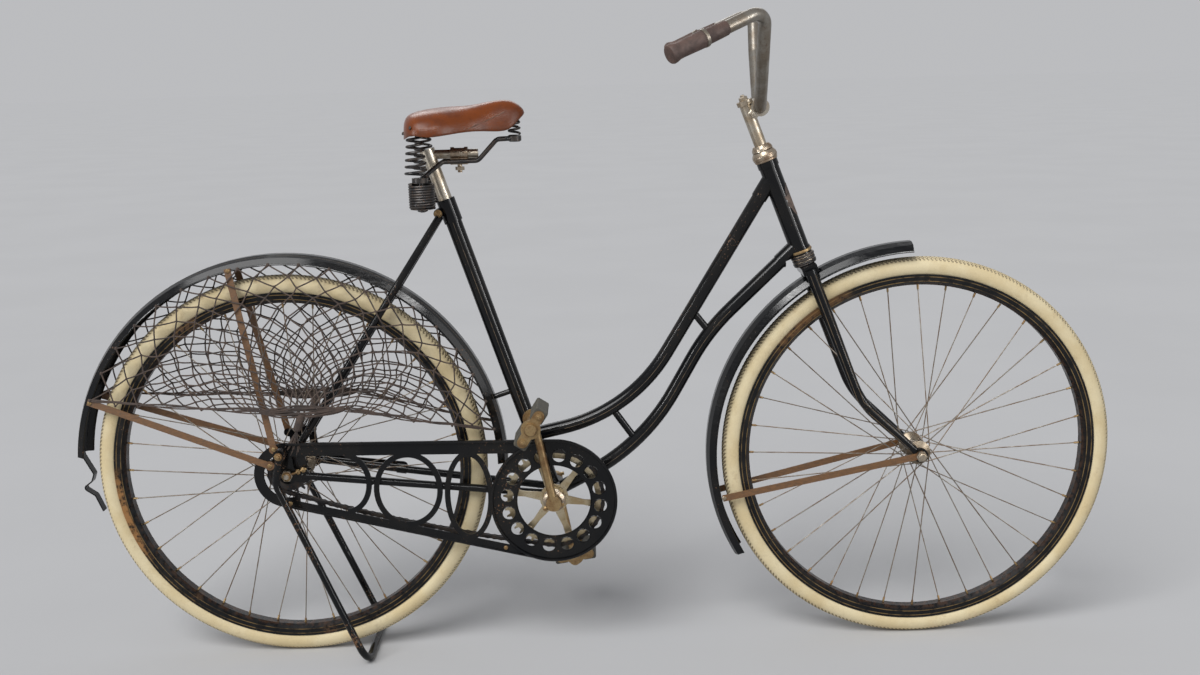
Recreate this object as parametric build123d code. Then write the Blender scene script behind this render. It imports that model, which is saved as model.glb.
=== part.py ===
"""Step-through safety bicycle: looped frame, block pedals, openwork chain guard, skirt nets, rear stand.

Model axes: X forward from the rear axle, Y to the rider's left, Z up from the floor, millimetres.
"""
import os
from math import acos, atan2, cos, degrees, hypot, pi, radians, sin, sqrt, tan

from build123d import *

# Wheels
WHEELBASE = 1140.0
TYRE_R = 355.0
TYRE_HALF = 19.0
TYRE_DEPTH = 37.0
TYRE_CROWN = 5.0
BED_HALF = 12.4
RIM_DEPTH = 13.0
RIM_LIP = 7.0
RIM_SPARE = 2.0
SPOKES = 36
SPOKE_CROSS = 3
SPOKE_W = 2.0
AXLE_R = 4.75
RUN_GAP = 0.05
FIT_GAP = 0.25
FRONT_FLANGE_R = 22.0
FRONT_FLANGE_Y = 30.0
FRONT_HUB_Y = 38.0
FRONT_HUB_R = 11.0
REAR_FLANGE_R = 33.0
REAR_FLANGE_Y = 33.0
REAR_HUB_Y = 37.0
REAR_HUB_R = 21.0
FLANGE_T = 6.0

# Frame
BB_GAP = 83.0
BB_DROP = 62.0
BB_R = 20.0
BB_BORE = 14.0
BB_CUP = 10.0
BB_HALF = 34.0
SEAT_SLOPE = 0.323
SEAT_RISE = 481.0
SEAT_TUBE_R = 14.3
SEAT_LUG = 40.0
LUG_T = 2.2
EAR_DROP = 24.0
EAR_BACK = 20.4
EAR_R = 8.0
EAR_HALF = 15.0
MAIN_R = 12.7
STRUT_R = 6.5
HEAD_SLOPE = 0.3739
HEAD_LEN = 179.0
HEAD_R = 17.5
HEAD_WALL = 2.2
HEAD_RING = 12.0
HEAD_RING_T = 1.4
RAKE = 66.5
CROWN_RISE = 36.5
STEERER_R = 11.1
CROWN_S = -12.3
CROWN_HALF = 41.0
FORK_END_Y = 50.5
FORK_END_R = 13.0
FORK_KNEE = (-108.4, -3.5, 100.0)
KNEE_BACK = 38.0
BLADE_R = 8.6
UPPER_DROP = 29.0
UPPER_FOOT = 108.5
UPPER_BEND = 0.685
UPPER_CORNER = (0.3596, 0.2603)
LOWER_S = 19.0
LOWER_CORNERS = ((0.637, 0.6556), (0.3683, 0.186))
STRUTS = ((0.419, 0.347), (0.771, 0.722))
LOWER_BEND = 0.704
LUG_REACH = 46.0
TUBE_LUG_T = 1.5
CHAIN_STAY_R = 7.0
CHAIN_STAY_Y = 24.0
SEAT_STAY_R = 6.5
SEAT_STAY_Y = 19.0
SEAT_STAY_MID_Y = 37.0
SEAT_STAY_END_Y = 48.0
SEAT_STAY_BEND = 90.0
END_IN_Y = 54.0
END_T = 5.0
STAY_FOOT_X = 24.0
SEAT_FOOT_RISE = 54.0
LOW_STAY_BACK = 30.0
LOW_STAY_RISE = 19.0
HIGH_STAY_BACK = 21.0
HIGH_STAY_RISE = 49.0

# Drive
PITCH = 12.7
RING_TEETH = 44
COG_TEETH = 18
TOOTH_TIP = 3.6
TOOTH_ROOT = 3.9
CHAIN_Y = -44.0
COG_T = 3.0
COG_BOSS_R = 15.0
RING_RIM = 14.0
STAR_ARMS = 6
STAR_TURN = 110.0
STAR_HUB_R = 26.0
STAR_BOSS_R = 20.0
CRANK_LEN = 165.0
CRANK_BACK = 11.2
CRANK_R = 8.0
CRANK_EYE_R = 11.0
CRANK_BOSS_R = 13.5
SPINDLE_R = 8.0
ARM_IN_Y = 66.0
ARM_T = 16.0
PEDAL_IN_Y = 90.0
PEDAL_OUT_Y = 168.0
PEDAL_AXLE_R = 5.0
PEDAL_BARREL_R = 9.0
PEDAL_PLATE_T = 3.0
PEDAL_RING_R = 17.0
PEDAL_REACH = 27.0
LOBE_W = 19.0
BLOCK_LONG = 25.0
BLOCK_TALL = 24.0
DOME_R = 12.0
DOME_H = 8.0
RIGHT_TILT = 57.0
LEFT_TILT = 8.0

# Guard, fenders, stand, nets
GUARD_GAP = 0.0
GUARD_T = 2.0
GUARD_REAR_GAP = 23.4
GUARD_REAR_W = 18.0
GUARD_TOP_W = 25.0
GUARD_LOW_W = 16.0
GUARD_LOOP_W = 10.0
GUARD_DISC_GAP = 25.5
GUARD_OPEN_IN = 23.0
GUARD_HOLES = 16
GUARD_HOLE_R = 12.0
GUARD_HOLE_IN = 4.5
GUARD_HOLE_TURN = 82.0
GUARD_BEAD_W = 5.0
GUARD_BEAD_H = 2.5
REAR_FENDER_GAP = 38.0
FRONT_FENDER_GAP = 29.0
REAR_FENDER_A = (0.0, 175.0)
FRONT_FENDER_A = (92.0, 210.0)
FENDER_HALF = 28.0
FENDER_DROP = 16.0
SHEET = 1.6
STAY_W = 12.0
STAY_T = 2.0
LOW_STAY_A = 158.8
HIGH_STAY_A = 103.2
FRONT_STAY_A = 192.3
BRACKET_RISE = 132.7
CLIP_W = 2.4
CLIP_HALF = 9.0
STAND_X = -5.5
STAND_RISE = 45.0
STAND_R = 6.5
STAND_Y = 87.0
STAND_FOOT_X = 129.0
STAND_FOOT_Y = 96.0
STAND_BEND = 32.0
STAND_PIN_R = 4.0
STAND_EYE_R = 11.0
STAND_EYE_HALF = 6.8
NET_X = 36.0
NET_RISE = 123.0
NET_Y = 72.0
NET_STRINGS = 15
NET_A0 = 20.0
NET_A1 = 157.2
NET_W = 1.8
TIE_R = 13.5

# Handlebar and saddle
BAR_R = 11.0
BAR_BEND = 30.0
BAR_SKEW = 3.5
STEM_RISE = 104.0
CLAMP_RISE = 85.5
GRIP_R = 14.4
POST_R = 12.2
POST_RISE = 79.0
POST_SUNK = 136.0
SADDLE_ARM_R = 8.0
SADDLE_ARM_BACK = 8.0
SADDLE_ARM_REACH = 87.0
SADDLE_HIDE = 5.0
RAIL_R = 4.0
RAIL_DROP = 12.4
SPRING_Y = 62.0
SPRING_R = 23.0
WIRE = 4.6
BOLT_R = 6.0

AXLE_Z = TYRE_R
FRONT_AXLE = (WHEELBASE, AXLE_Z)
RIM_SEAT_R = TYRE_R - TYRE_DEPTH
RIM_IN_R = RIM_SEAT_R - RIM_DEPTH
RIM_HALF = TYRE_HALF - RIM_SPARE
RING_R = PITCH / 2 / sin(pi / RING_TEETH)
COG_R = PITCH / 2 / sin(pi / COG_TEETH)
REAR_FENDER_R = TYRE_R + REAR_FENDER_GAP
FRONT_FENDER_R = TYRE_R + FRONT_FENDER_GAP
BB_X = REAR_FENDER_R + BB_GAP
BB_Z = AXLE_Z - BB_DROP
SEAT_TOP_Z = AXLE_Z + SEAT_RISE
SADDLE_ARM_Z = SEAT_TOP_Z + POST_RISE
END_OUT_Y = END_IN_Y + END_T
GUARD_IN_Y = -(END_OUT_Y + GUARD_GAP)
GUARD_OUT_Y = GUARD_IN_Y - GUARD_T
GUARD_REAR_R = COG_R + GUARD_REAR_GAP
GUARD_DISC_R = RING_R + GUARD_DISC_GAP
GUARD_OPEN_R = RING_R - GUARD_OPEN_IN
GUARD_HOLE_PCR = RING_R - GUARD_HOLE_IN
STAND_Z = AXLE_Z + STAND_RISE
NET_Z = AXLE_Z + NET_RISE
ORIGIN_X = (WHEELBASE + TYRE_R - REAR_FENDER_R) / 2
BASE = (Align.CENTER, Align.CENTER, Align.MIN)
HANG = (Align.CENTER, Align.CENTER, Align.MAX)
HEAD_ANG = atan2(HEAD_SLOPE, 1)
HEAD_DIR = (-sin(HEAD_ANG), 0, cos(HEAD_ANG))
FORK_REACH = sqrt((FRONT_FENDER_R + CROWN_RISE) ** 2 - RAKE**2)
HEAD_X = WHEELBASE + HEAD_DIR[0] * FORK_REACH - HEAD_DIR[2] * RAKE
HEAD_Z = AXLE_Z + HEAD_DIR[2] * FORK_REACH + HEAD_DIR[0] * RAKE
HEAD = Plane(origin=(HEAD_X, 0, HEAD_Z), x_dir=(HEAD_DIR[2], 0, -HEAD_DIR[0]), z_dir=HEAD_DIR)


def seat_at(z):
    """Point on the seat tube axis at height z."""
    return (BB_X - SEAT_SLOPE * (z - BB_Z), 0, z)


def head_at(s):
    """Point on the steering axis, s along it from the head tube's lower edge."""
    return (HEAD_X + HEAD_DIR[0] * s, 0, HEAD_Z + HEAD_DIR[2] * s)


def between(a, b, t):
    """Point a share t of the way from a to b."""
    return tuple(p + (q - p) * t for p, q in zip(a, b))


def from_bracket(end, share_x, share_z):
    """Tube corner given as shares of the run from the bottom bracket to a point on the head."""
    return (BB_X + share_x * (end[0] - BB_X), 0, BB_Z + share_z * (end[2] - BB_Z))


def polar(x, z, r, angle):
    """Side-view point at radius r and an angle in degrees about x, z."""
    return (x + r * cos(radians(angle)), z + r * sin(radians(angle)))


def rod(a, b, r):
    """Round bar from a to b."""
    d = Vector(*b) - Vector(*a)
    return Plane(origin=a, z_dir=d) * Cylinder(r, d.length, align=BASE)


def taper(a, b, ra, rb):
    """Round bar from a to b whose radius changes from ra to rb."""
    d = Vector(*b) - Vector(*a)
    return Plane(origin=a, z_dir=d) * Cone(ra, rb, d.length, align=BASE)


def square_rod(a, b, w):
    """Square bar from a to b."""
    d = Vector(*b) - Vector(*a)
    return Plane(origin=a, z_dir=d) * Box(w, w, d.length, align=BASE)


def strip(a, b, wide, thick):
    """Flat strip from a to b whose broad side faces sideways."""
    d = Vector(*b) - Vector(*a)
    along = Plane(origin=a, z_dir=d, x_dir=d.cross(Vector(0, 1, 0)))
    return along * Box(wide, thick, d.length, align=BASE)


def swept_line(points, share):
    """Polyline whose corners are rounded by a share of the largest radius that its legs allow."""
    runs = [Vector(*q) - Vector(*p) for p, q in zip(points, points[1:])]
    needs = [0.0] + [tan(radians(p.get_angle(q)) / 2) for p, q in zip(runs, runs[1:])] + [0.0]
    largest = min(run.length / (a + b) for run, a, b in zip(runs, needs, needs[1:]))
    return FilletPolyline(*points, radius=share * largest)


def tube_along(path, r):
    """Round tube along a path."""
    return sweep(Plane(origin=path @ 0, z_dir=path % 0) * Circle(r), path=path)


def bent(points, bend, r):
    """Round tube along a polyline with rounded corners."""
    return tube_along(FilletPolyline(*points, radius=bend), r)


def across(x, z, r, y0, y1):
    """Cylinder along Y."""
    return Pos(x, min(y0, y1), z) * Rot(-90, 0, 0) * Cylinder(r, abs(y1 - y0), align=BASE)


def plate(sketch, y0, y1):
    """Side plate from an X, Z sketch."""
    return extrude(Plane.XZ.offset(-max(y0, y1)) * sketch, amount=abs(y1 - y0))


def slot2d(a, b, w):
    """Round-ended bar in the side sketch."""
    turn = degrees(atan2(b[1] - a[1], b[0] - a[0]))
    gap = hypot(b[0] - a[0], b[1] - a[1])
    return Pos((a[0] + b[0]) / 2, (a[1] + b[1]) / 2) * Rot(0, 0, turn) * SlotCenterToCenter(gap, w)


def hexagon(x, z, r, y0, y1):
    """Six-sided nut along Y."""
    return plate(Pos(x, z) * RegularPolygon(r, 6), y0, y1)


def lathe(points, x=0.0, z=0.0):
    """Turned piece about Y from (radius, y) points."""
    return Pos(x, 0, z) * revolve(make_face(Polyline(*points, close=True)), axis=Axis.Y)


def turned(plane, points):
    """Turned piece about a plane's normal from (radius, distance along it) points."""
    face = make_face(Polyline(*[(r, 0, s) for r, s in points], close=True))
    return plane * revolve(face, axis=Axis.Z)


def mirrored(side):
    """Closed profile from (radius, y) points of one half and their mirror image."""
    return side + [(r, -y) for r, y in reversed(side)]


def main_piece(shape):
    """The largest solid left by a cut."""
    return max(shape.solids(), key=lambda solid: solid.volume)


def both(shape):
    """The piece and its mirror image on the other side."""
    return [shape, mirror(shape, about=Plane.XZ)]


def save(name, *shapes):
    """Write one named piece."""
    solids = [s for shape in shapes for s in shape.solids()]
    body = solids[0] if len(solids) == 1 else Compound(solids)
    export_step(Pos(-ORIGIN_X, 0, 0) * body, f"parts/{name}.step")


def tyre(x):
    """Tyre with a many-sided round section."""
    shoulder = (TYRE_R - 0.42 * TYRE_HALF, 0.81 * TYRE_HALF)
    side = [(TYRE_R, TYRE_CROWN), shoulder, (TYRE_R - TYRE_HALF, TYRE_HALF), (RIM_SEAT_R, BED_HALF)]
    return lathe(mirrored(side), x, AXLE_Z)


def rim(x):
    """Hollow-backed rim that the tyre sits in."""
    lip_r = RIM_SEAT_R + RIM_LIP
    side = [(RIM_SEAT_R, BED_HALF + 0.2), (lip_r, RIM_HALF - 0.9), (lip_r, RIM_HALF + 0.4)]
    side += [(RIM_IN_R + RIM_DEPTH / 2, RIM_HALF), (RIM_IN_R, RIM_HALF / 2)]
    return lathe(mirrored(side), x, AXLE_Z)


def spokes(x, flange_r, flange_y):
    """Crossed spokes from both flanges to the rim."""
    out = []
    step = 720 / SPOKES
    hub_r = flange_r + 0.65 * SPOKE_W
    rim_r = RIM_IN_R - SPOKE_W / 4
    for hand in (1, -1):
        for k in range(SPOKES // 2):
            lead = 1 if k % 2 else -1
            a = k * step + (step / 2 if hand < 0 else 0)
            px, pz = polar(x, AXLE_Z, hub_r, a)
            qx, qz = polar(x, AXLE_Z, rim_r, a + lead * SPOKE_CROSS * step)
            p = (px, hand * (flange_y + lead * 0.75 * SPOKE_W), pz)
            out.append(square_rod(p, (qx, hand * 1.5 * SPOKE_W, qz), SPOKE_W))
    return out


def hub(x, barrel_r, end_y, flange_r, flange_y):
    """Turned hub shell running on its axle."""
    side = [(AXLE_R + RUN_GAP, end_y), (barrel_r, end_y), (flange_r, flange_y + FLANGE_T / 2)]
    side += [(flange_r, flange_y - FLANGE_T / 2), (barrel_r, flange_y - 2 * FLANGE_T)]
    return lathe(mirrored(side), x, AXLE_Z)


def toothed(x, z, teeth, pitch_r):
    """Outline of a chain wheel."""
    pts = []
    step = 360 / teeth
    for k in range(teeth):
        for share, r in ((-0.25, -TOOTH_ROOT), (0.25, -TOOTH_ROOT), (0.42, TOOTH_TIP), (0.58, TOOTH_TIP)):
            pts.append(polar(x, z, pitch_r + r, (k + share) * step))
    return make_face(Polyline(*pts, close=True))


def belt(r0, r1):
    """Directions of the two common tangents' normals, for circles about the rear axle and the bracket."""
    lean = atan2(BB_Z - AXLE_Z, BB_X)
    spread = acos((r0 - r1) / hypot(BB_X, BB_Z - AXLE_Z))
    return lean + spread, lean - spread


def tangent(a, r0, r1):
    """Ends of the common tangent whose normal points along a."""
    return (r0 * cos(a), AXLE_Z + r0 * sin(a)), (BB_X + r1 * cos(a), BB_Z + r1 * sin(a))


def chain_walk():
    """Pin and mid-link places round the chain loop: x, z, outward normal, on a straight run, mid-link."""
    up, down = belt(COG_R, RING_R)
    top, low = tangent(up, COG_R, RING_R), tangent(down, COG_R, RING_R)
    straight = hypot(top[1][0] - top[0][0], top[1][1] - top[0][1])
    ring_arc = RING_R * (up - down)
    total = 2 * straight + ring_arc + COG_R * (2 * pi - up + down)
    halves = 4 * round(total / PITCH / 2)
    runs = []
    for k in range(halves):
        s = k * total / halves
        if s < straight:
            runs.append((*between(top[0], top[1], s / straight), cos(up), sin(up), True, k % 2))
        elif s < straight + ring_arc:
            a = up - (s - straight) / RING_R
            runs.append((BB_X + RING_R * cos(a), BB_Z + RING_R * sin(a), cos(a), sin(a), False, k % 2))
        elif s < 2 * straight + ring_arc:
            t = (s - straight - ring_arc) / straight
            runs.append((*between(low[1], low[0], t), cos(down), sin(down), True, k % 2))
        else:
            a = down - (s - 2 * straight - ring_arc) / COG_R
            runs.append((COG_R * cos(a), AXLE_Z + COG_R * sin(a), cos(a), sin(a), False, k % 2))
    return runs


def fender(x, outer_r, a0, a1):
    """Arched fender strip about an axle at x, from angle a0 up to a1."""
    skin = mirrored([(outer_r - FENDER_DROP, FENDER_HALF), (outer_r - 5, 0.79 * FENDER_HALF), (outer_r, 8.0)])
    under = [(r - SHEET, y * (FENDER_HALF - SHEET) / FENDER_HALF) for r, y in reversed(skin)]
    face = make_face(Polyline(*(skin + under), close=True))
    return Pos(x, 0, AXLE_Z) * Rot(0, -a1, 0) * revolve(face, axis=Axis.Y, revolution_arc=a1 - a0)


def saddle_section(x, half, crown, edge, inset):
    """Wire points of the leather across the saddle: straight skirts and an arched top."""
    shoulder = edge + 0.45 * (crown - edge)
    w = half - inset
    top = crown - inset
    return (x, -w, edge), (x, -w, shoulder), (x, 0, top), (x, w, shoulder), (x, w, edge)


def coil(x, y, r0, r1, z0, z1, turns):
    """Open spring of square wire, as a many-cornered helix."""
    steps = int(12 * turns)
    pts = []
    for k in range(steps + 1):
        t = k / steps
        px, py = polar(x, y, r0 + (r1 - r0) * t, 360 * turns * t)
        pts.append((px, py, z0 + (z1 - z0) * t))
    path = Polyline(*pts)
    section = Plane(origin=path @ 0, z_dir=path % 0) * Rectangle(WIRE, WIRE)
    return sweep(section, path=path, transition=Transition.RIGHT)


os.makedirs("parts", exist_ok=True)

# Frame tubes
bb_solid = across(BB_X, BB_Z, BB_R, -BB_HALF, BB_HALF)
bb_bore = across(BB_X, BB_Z, BB_BORE, BB_CUP - BB_HALF, BB_HALF - BB_CUP)
save("bottom_bracket", bb_solid - bb_bore - across(BB_X, BB_Z, SPINDLE_R + RUN_GAP, -BB_HALF, BB_HALF))

upper_top = head_at(HEAD_LEN - UPPER_DROP)
lower_top = head_at(LOWER_S)
upper_corner = from_bracket(upper_top, *UPPER_CORNER)
upper_path = swept_line([upper_top, upper_corner, seat_at(BB_Z + UPPER_FOOT)], UPPER_BEND)
lower_corners = [from_bracket(lower_top, *shares) for shares in LOWER_CORNERS]
lower_path = swept_line([lower_top, *lower_corners, (BB_X, 0, BB_Z)], LOWER_BEND)
head_solid = HEAD * Cylinder(HEAD_R, HEAD_LEN, align=BASE)
below = HEAD * Cylinder(2 * HEAD_R, 4 * HEAD_R, align=HANG)
head = head_solid
for path in (upper_path, lower_path):
    head += rod(path @ 0, tuple((path @ 0) + (path % 0) * LUG_REACH), MAIN_R + TUBE_LUG_T)
for edge in (0, HEAD_LEN - HEAD_RING):
    head += HEAD * Pos(0, 0, edge) * Cylinder(HEAD_R + HEAD_RING_T, HEAD_RING, align=BASE)
upper = tube_along(upper_path, MAIN_R)
lower = tube_along(lower_path, MAIN_R)
head = head - HEAD * Cylinder(HEAD_R - HEAD_WALL, HEAD_LEN, align=BASE) - below - upper - lower
save("head_tube", head)

seat_top = seat_at(SEAT_TOP_Z)
ear = (seat_at(SEAT_TOP_Z - EAR_DROP)[0] - EAR_BACK, SEAT_TOP_Z - EAR_DROP)
seat_outer = rod(seat_at(BB_Z), seat_top, SEAT_TUBE_R)
seat_lug = rod(seat_at(SEAT_TOP_Z - SEAT_LUG), seat_top, SEAT_TUBE_R + LUG_T)
seat_ear = across(*ear, EAR_R, -EAR_HALF, EAR_HALF)
collar_z = BB_Z + UPPER_FOOT + 2
upper_collar = rod(seat_at(collar_z - 15), seat_at(collar_z + 15), SEAT_TUBE_R + TUBE_LUG_T)
seat_bore = rod(seat_at(SEAT_TOP_Z - 2.8 * POST_SUNK), seat_at(SEAT_TOP_Z + 5), POST_R + 0.2)
save("seat_tube", seat_outer + seat_lug + seat_ear + upper_collar - seat_bore - bb_solid)
upper = upper - head_solid - seat_outer - upper_collar
lower = lower - head_solid - below - bb_solid - seat_outer
save("upper_tube", upper)
save("lower_tube", lower)
save("frame_struts", *[rod(upper_path @ a, lower_path @ b, STRUT_R) - upper - lower for a, b in STRUTS])

# Stays and rear ends
stay_in = (BB_X - 0.7 * BB_R, CHAIN_STAY_Y, BB_Z + 3)
stay_out = (STAY_FOOT_X, END_IN_Y, AXLE_Z - 3)
seat_foot = (STAY_FOOT_X, AXLE_Z + SEAT_FOOT_RISE)
seat_start = (ear[0] + 2, SEAT_STAY_Y, ear[1] - 6)
seat_mid = between(seat_start, (seat_foot[0], 0, seat_foot[1]), 0.27)
seat_mid = (seat_mid[0], SEAT_STAY_MID_Y, seat_mid[2])
seat_end = (seat_foot[0], SEAT_STAY_END_Y, seat_foot[1])
low_stay = (-LOW_STAY_BACK, AXLE_Z + LOW_STAY_RISE)
high_stay = (-HIGH_STAY_BACK, AXLE_Z + HIGH_STAY_RISE)
END_ARMS = (
    # from, to, width
    ((0, AXLE_Z), (30, AXLE_Z - 4), 22),
    ((0, AXLE_Z), (STAND_X, STAND_Z), 26),
    ((STAND_X, STAND_Z), seat_foot, 18),
    (seat_foot, (30, AXLE_Z - 4), 14),
    ((0, AXLE_Z), low_stay, 18),
    ((STAND_X, STAND_Z), high_stay, 14),
)
ends2d = Pos(0, AXLE_Z) * Circle(17)
for a, b, w in END_ARMS:
    ends2d += slot2d(a, b, w)
ends2d -= Pos(0, AXLE_Z) * Circle(AXLE_R + FIT_GAP)
pin_neck = -GUARD_OUT_Y + 0.4
rear_end = plate(ends2d, END_IN_Y, END_OUT_Y)
rear_end += across(STAND_X, STAND_Z, STAND_PIN_R, END_OUT_Y, STAND_FOOT_Y + 1)
rear_end += across(STAND_X, STAND_Z, 1.4 * STAND_PIN_R, END_OUT_Y, pin_neck)
rear_end += across(STAND_X, STAND_Z, 9.0, pin_neck, STAND_Y - STAND_EYE_HALF - 0.5)
rear_end += across(STAND_X, STAND_Z, 2 * STAND_PIN_R, STAND_Y + STAND_EYE_HALF + 0.5, STAND_FOOT_Y + 2)
chain_stay = rod(stay_in, stay_out, CHAIN_STAY_R) - bb_solid - rear_end
seat_stay = bent([seat_start, seat_mid, seat_end], SEAT_STAY_BEND, SEAT_STAY_R)
seat_stay = seat_stay - seat_outer - seat_lug - seat_ear - rear_end
save("chain_stays", *both(chain_stay))
save("seat_stays", *both(seat_stay))
save("rear_ends", *both(rear_end))

# Head bearings
run_s = STEERER_R + RUN_GAP
UPPER_CUP = ((run_s, 0), (19.5, 0), (22.0, 5), (22.0, 12), (18.5, 18), (run_s, 19))
LOWER_CUP = ((run_s, 0), (20.0, 0), (21.5, -5), (19.5, -7), (20.5, -12), (run_s, -12))
HEAD_NUT = ((STEERER_R + 0.1, 19.4), (19.0, 19.4), (18.0, 24), (14.5, 29), (STEERER_R + 0.1, 29))
save("head_cups", turned(HEAD, [(r, HEAD_LEN + s) for r, s in UPPER_CUP]), turned(HEAD, LOWER_CUP))
save("head_nut", turned(HEAD, [(r, HEAD_LEN + s) for r, s in HEAD_NUT]))

# Rear axle, brake arm
rear_axle = rod((0, -END_OUT_Y - 15, AXLE_Z), (0, END_OUT_Y + 15, AXLE_Z), AXLE_R)
for nut in both(hexagon(0, AXLE_Z, 10.5, END_OUT_Y + 2.5, END_OUT_Y + 10)):
    rear_axle += nut
save("rear_axle", rear_axle)
arm_tip = between(stay_in, stay_out, 0.62)
brake_arm = plate(slot2d((0, AXLE_Z), (arm_tip[0], arm_tip[2]), 18), END_OUT_Y, END_OUT_Y + 2.5)
brake_arm -= across(0, AXLE_Z, AXLE_R + FIT_GAP, END_IN_Y, END_OUT_Y + 10)
brake_arm += rod(between(stay_in, stay_out, 0.60), between(stay_in, stay_out, 0.64), CHAIN_STAY_R + 1.6)
brake_arm += across(arm_tip[0], arm_tip[2], 5, arm_tip[1] + 4, END_OUT_Y + 2.5)
save("brake_arm", brake_arm - rod(stay_in, stay_out, CHAIN_STAY_R))

# Wheels
WHEELS = (
    # name, axle x, hub radius, hub y, flange radius, flange y
    ("front", WHEELBASE, FRONT_HUB_R, FRONT_HUB_Y, FRONT_FLANGE_R, FRONT_FLANGE_Y),
    ("rear", 0.0, REAR_HUB_R, REAR_HUB_Y, REAR_FLANGE_R, REAR_FLANGE_Y),
)
for name, x, hub_r, hub_y, flange_r, flange_y in WHEELS:
    save(f"{name}_tyre", tyre(x))
    save(f"{name}_rim", rim(x))
    save(f"{name}_spokes", *spokes(x, flange_r, flange_y))
    save(f"{name}_hub", hub(x, hub_r, hub_y, flange_r, flange_y))

# Cog, chain wheel, cranks, chain
cog = plate(toothed(0, AXLE_Z, COG_TEETH, COG_R), CHAIN_Y - COG_T / 2, CHAIN_Y + COG_T / 2)
cog += across(0, AXLE_Z, COG_BOSS_R, CHAIN_Y - 6, -REAR_HUB_Y - 1.5)
save("cog", cog - across(0, AXLE_Z, AXLE_R + RUN_GAP, -END_IN_Y, 0))

ring2d = toothed(0, 0, RING_TEETH, RING_R) - Circle(RING_R - RING_RIM)
arm_end = RING_R - 0.8 * RING_RIM
waist = 0.7 * arm_end
arm = Polygon((12, -9), (waist, -4.8), (arm_end, -7.5), (arm_end, 7.5), (waist, 4.8), (12, 9), align=None)
for k in range(STAR_ARMS):
    ring2d += Rot(0, 0, STAR_TURN + 360 / STAR_ARMS * k) * arm
ring2d += Circle(STAR_HUB_R)
chain_wheel = plate(Pos(BB_X, BB_Z) * ring2d, CHAIN_Y - COG_T / 2, CHAIN_Y + COG_T / 2)
chain_wheel += across(BB_X, BB_Z, STAR_BOSS_R, CHAIN_Y - 16, -BB_HALF - 4)
spindle_y = ARM_IN_Y + ARM_T - 1
spindle = rod((BB_X, -spindle_y, BB_Z), (BB_X, spindle_y, BB_Z), SPINDLE_R)
save("chain_wheel", chain_wheel - spindle)
save("crank_spindle", spindle)

cranks = []
pedal_axles = []
SIDES = (
    # side, hand, crank turn, pedal tilt
    ("right", -1, 90 + CRANK_BACK, RIGHT_TILT),
    ("left", 1, 270 + CRANK_BACK, LEFT_TILT),
)
arm_y = ARM_IN_Y + ARM_T / 2
for side, hand, turn, tilt in SIDES:
    px, pz = polar(BB_X, BB_Z, CRANK_LEN, turn)
    arm = taper((BB_X, hand * arm_y, BB_Z), (px, hand * (arm_y + 2), pz), CRANK_R, 0.8 * CRANK_R)
    arm += across(BB_X, BB_Z, CRANK_BOSS_R, hand * ARM_IN_Y, hand * (ARM_IN_Y + ARM_T))
    arm += across(px, pz, CRANK_EYE_R, hand * (ARM_IN_Y + 3), hand * (ARM_IN_Y + ARM_T + 1))
    axle = across(px, pz, PEDAL_AXLE_R, hand * (ARM_IN_Y + 3), hand * (PEDAL_OUT_Y - PEDAL_PLATE_T))
    cranks.append(arm - spindle - axle)
    pedal_axles.append(axle + across(px, pz, 8, hand * (ARM_IN_Y + ARM_T + 1), hand * (PEDAL_IN_Y - 2)))

    lobes = [polar(px, pz, PEDAL_REACH, tilt + 180 * k) for k in range(2)]
    ends = slot2d(*lobes, LOBE_W) + Pos(px, pz) * Circle(PEDAL_RING_R)
    cage = across(px, pz, PEDAL_BARREL_R, hand * PEDAL_IN_Y, hand * PEDAL_OUT_Y)
    cage += plate(ends, hand * PEDAL_IN_Y, hand * (PEDAL_IN_Y + PEDAL_PLATE_T))
    cage += plate(ends, hand * (PEDAL_OUT_Y - PEDAL_PLATE_T), hand * PEDAL_OUT_Y)
    bore_end = PEDAL_OUT_Y - PEDAL_PLATE_T + 0.5
    cage -= across(px, pz, PEDAL_AXLE_R + RUN_GAP, hand * ARM_IN_Y, hand * bore_end)
    dome = Pos(px, hand * PEDAL_OUT_Y, pz) * Sphere(DOME_R)
    dome = dome & across(px, pz, DOME_R, hand * PEDAL_OUT_Y, hand * (PEDAL_OUT_Y + DOME_H))
    save(f"{side}_pedal_cage", cage + dome)
    block = Rot(0, -tilt, 0) * Box(BLOCK_LONG, PEDAL_OUT_Y - PEDAL_IN_Y - 2 * PEDAL_PLATE_T, BLOCK_TALL)
    block_y = hand * (PEDAL_IN_Y + PEDAL_OUT_Y) / 2
    save(f"{side}_pedal_blocks", *[Pos(x, block_y, z) * block for x, z in lobes])
save("cranks", *cranks)
save("pedal_axles", *pedal_axles)

LINK_WIDE = 4.2
LINK_WAIST = 2.9
LINK_PLAIN = 3.8
LINK_IN = 2.3
LINK_OUT = 3.7
outer_edge = []
inner_edge = []
plain_out = []
plain_in = []
for x, z, nx, nz, straight, mid in chain_walk():
    swell = LINK_WAIST if mid else LINK_WIDE
    outer_edge.append((x + nx * swell, z + nz * swell))
    if straight or not mid:
        inner_edge.append((x - nx * swell, z - nz * swell))
    if not straight and not mid:
        plain_out.append((x + nx * LINK_PLAIN, z + nz * LINK_PLAIN))
        plain_in.append((x - nx * LINK_PLAIN, z - nz * LINK_PLAIN))
link_face = make_face(Polyline(*outer_edge, close=True)) - make_face(Polyline(*inner_edge, close=True))
back_face = make_face(Polyline(*plain_out, close=True)) - make_face(Polyline(*plain_in, close=True))
near_plate = plate(link_face, CHAIN_Y - LINK_IN, CHAIN_Y - LINK_OUT)
far_plate = plate(back_face, CHAIN_Y + LINK_IN, CHAIN_Y + LINK_OUT)
save("chain", near_plate, far_plate)

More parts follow.
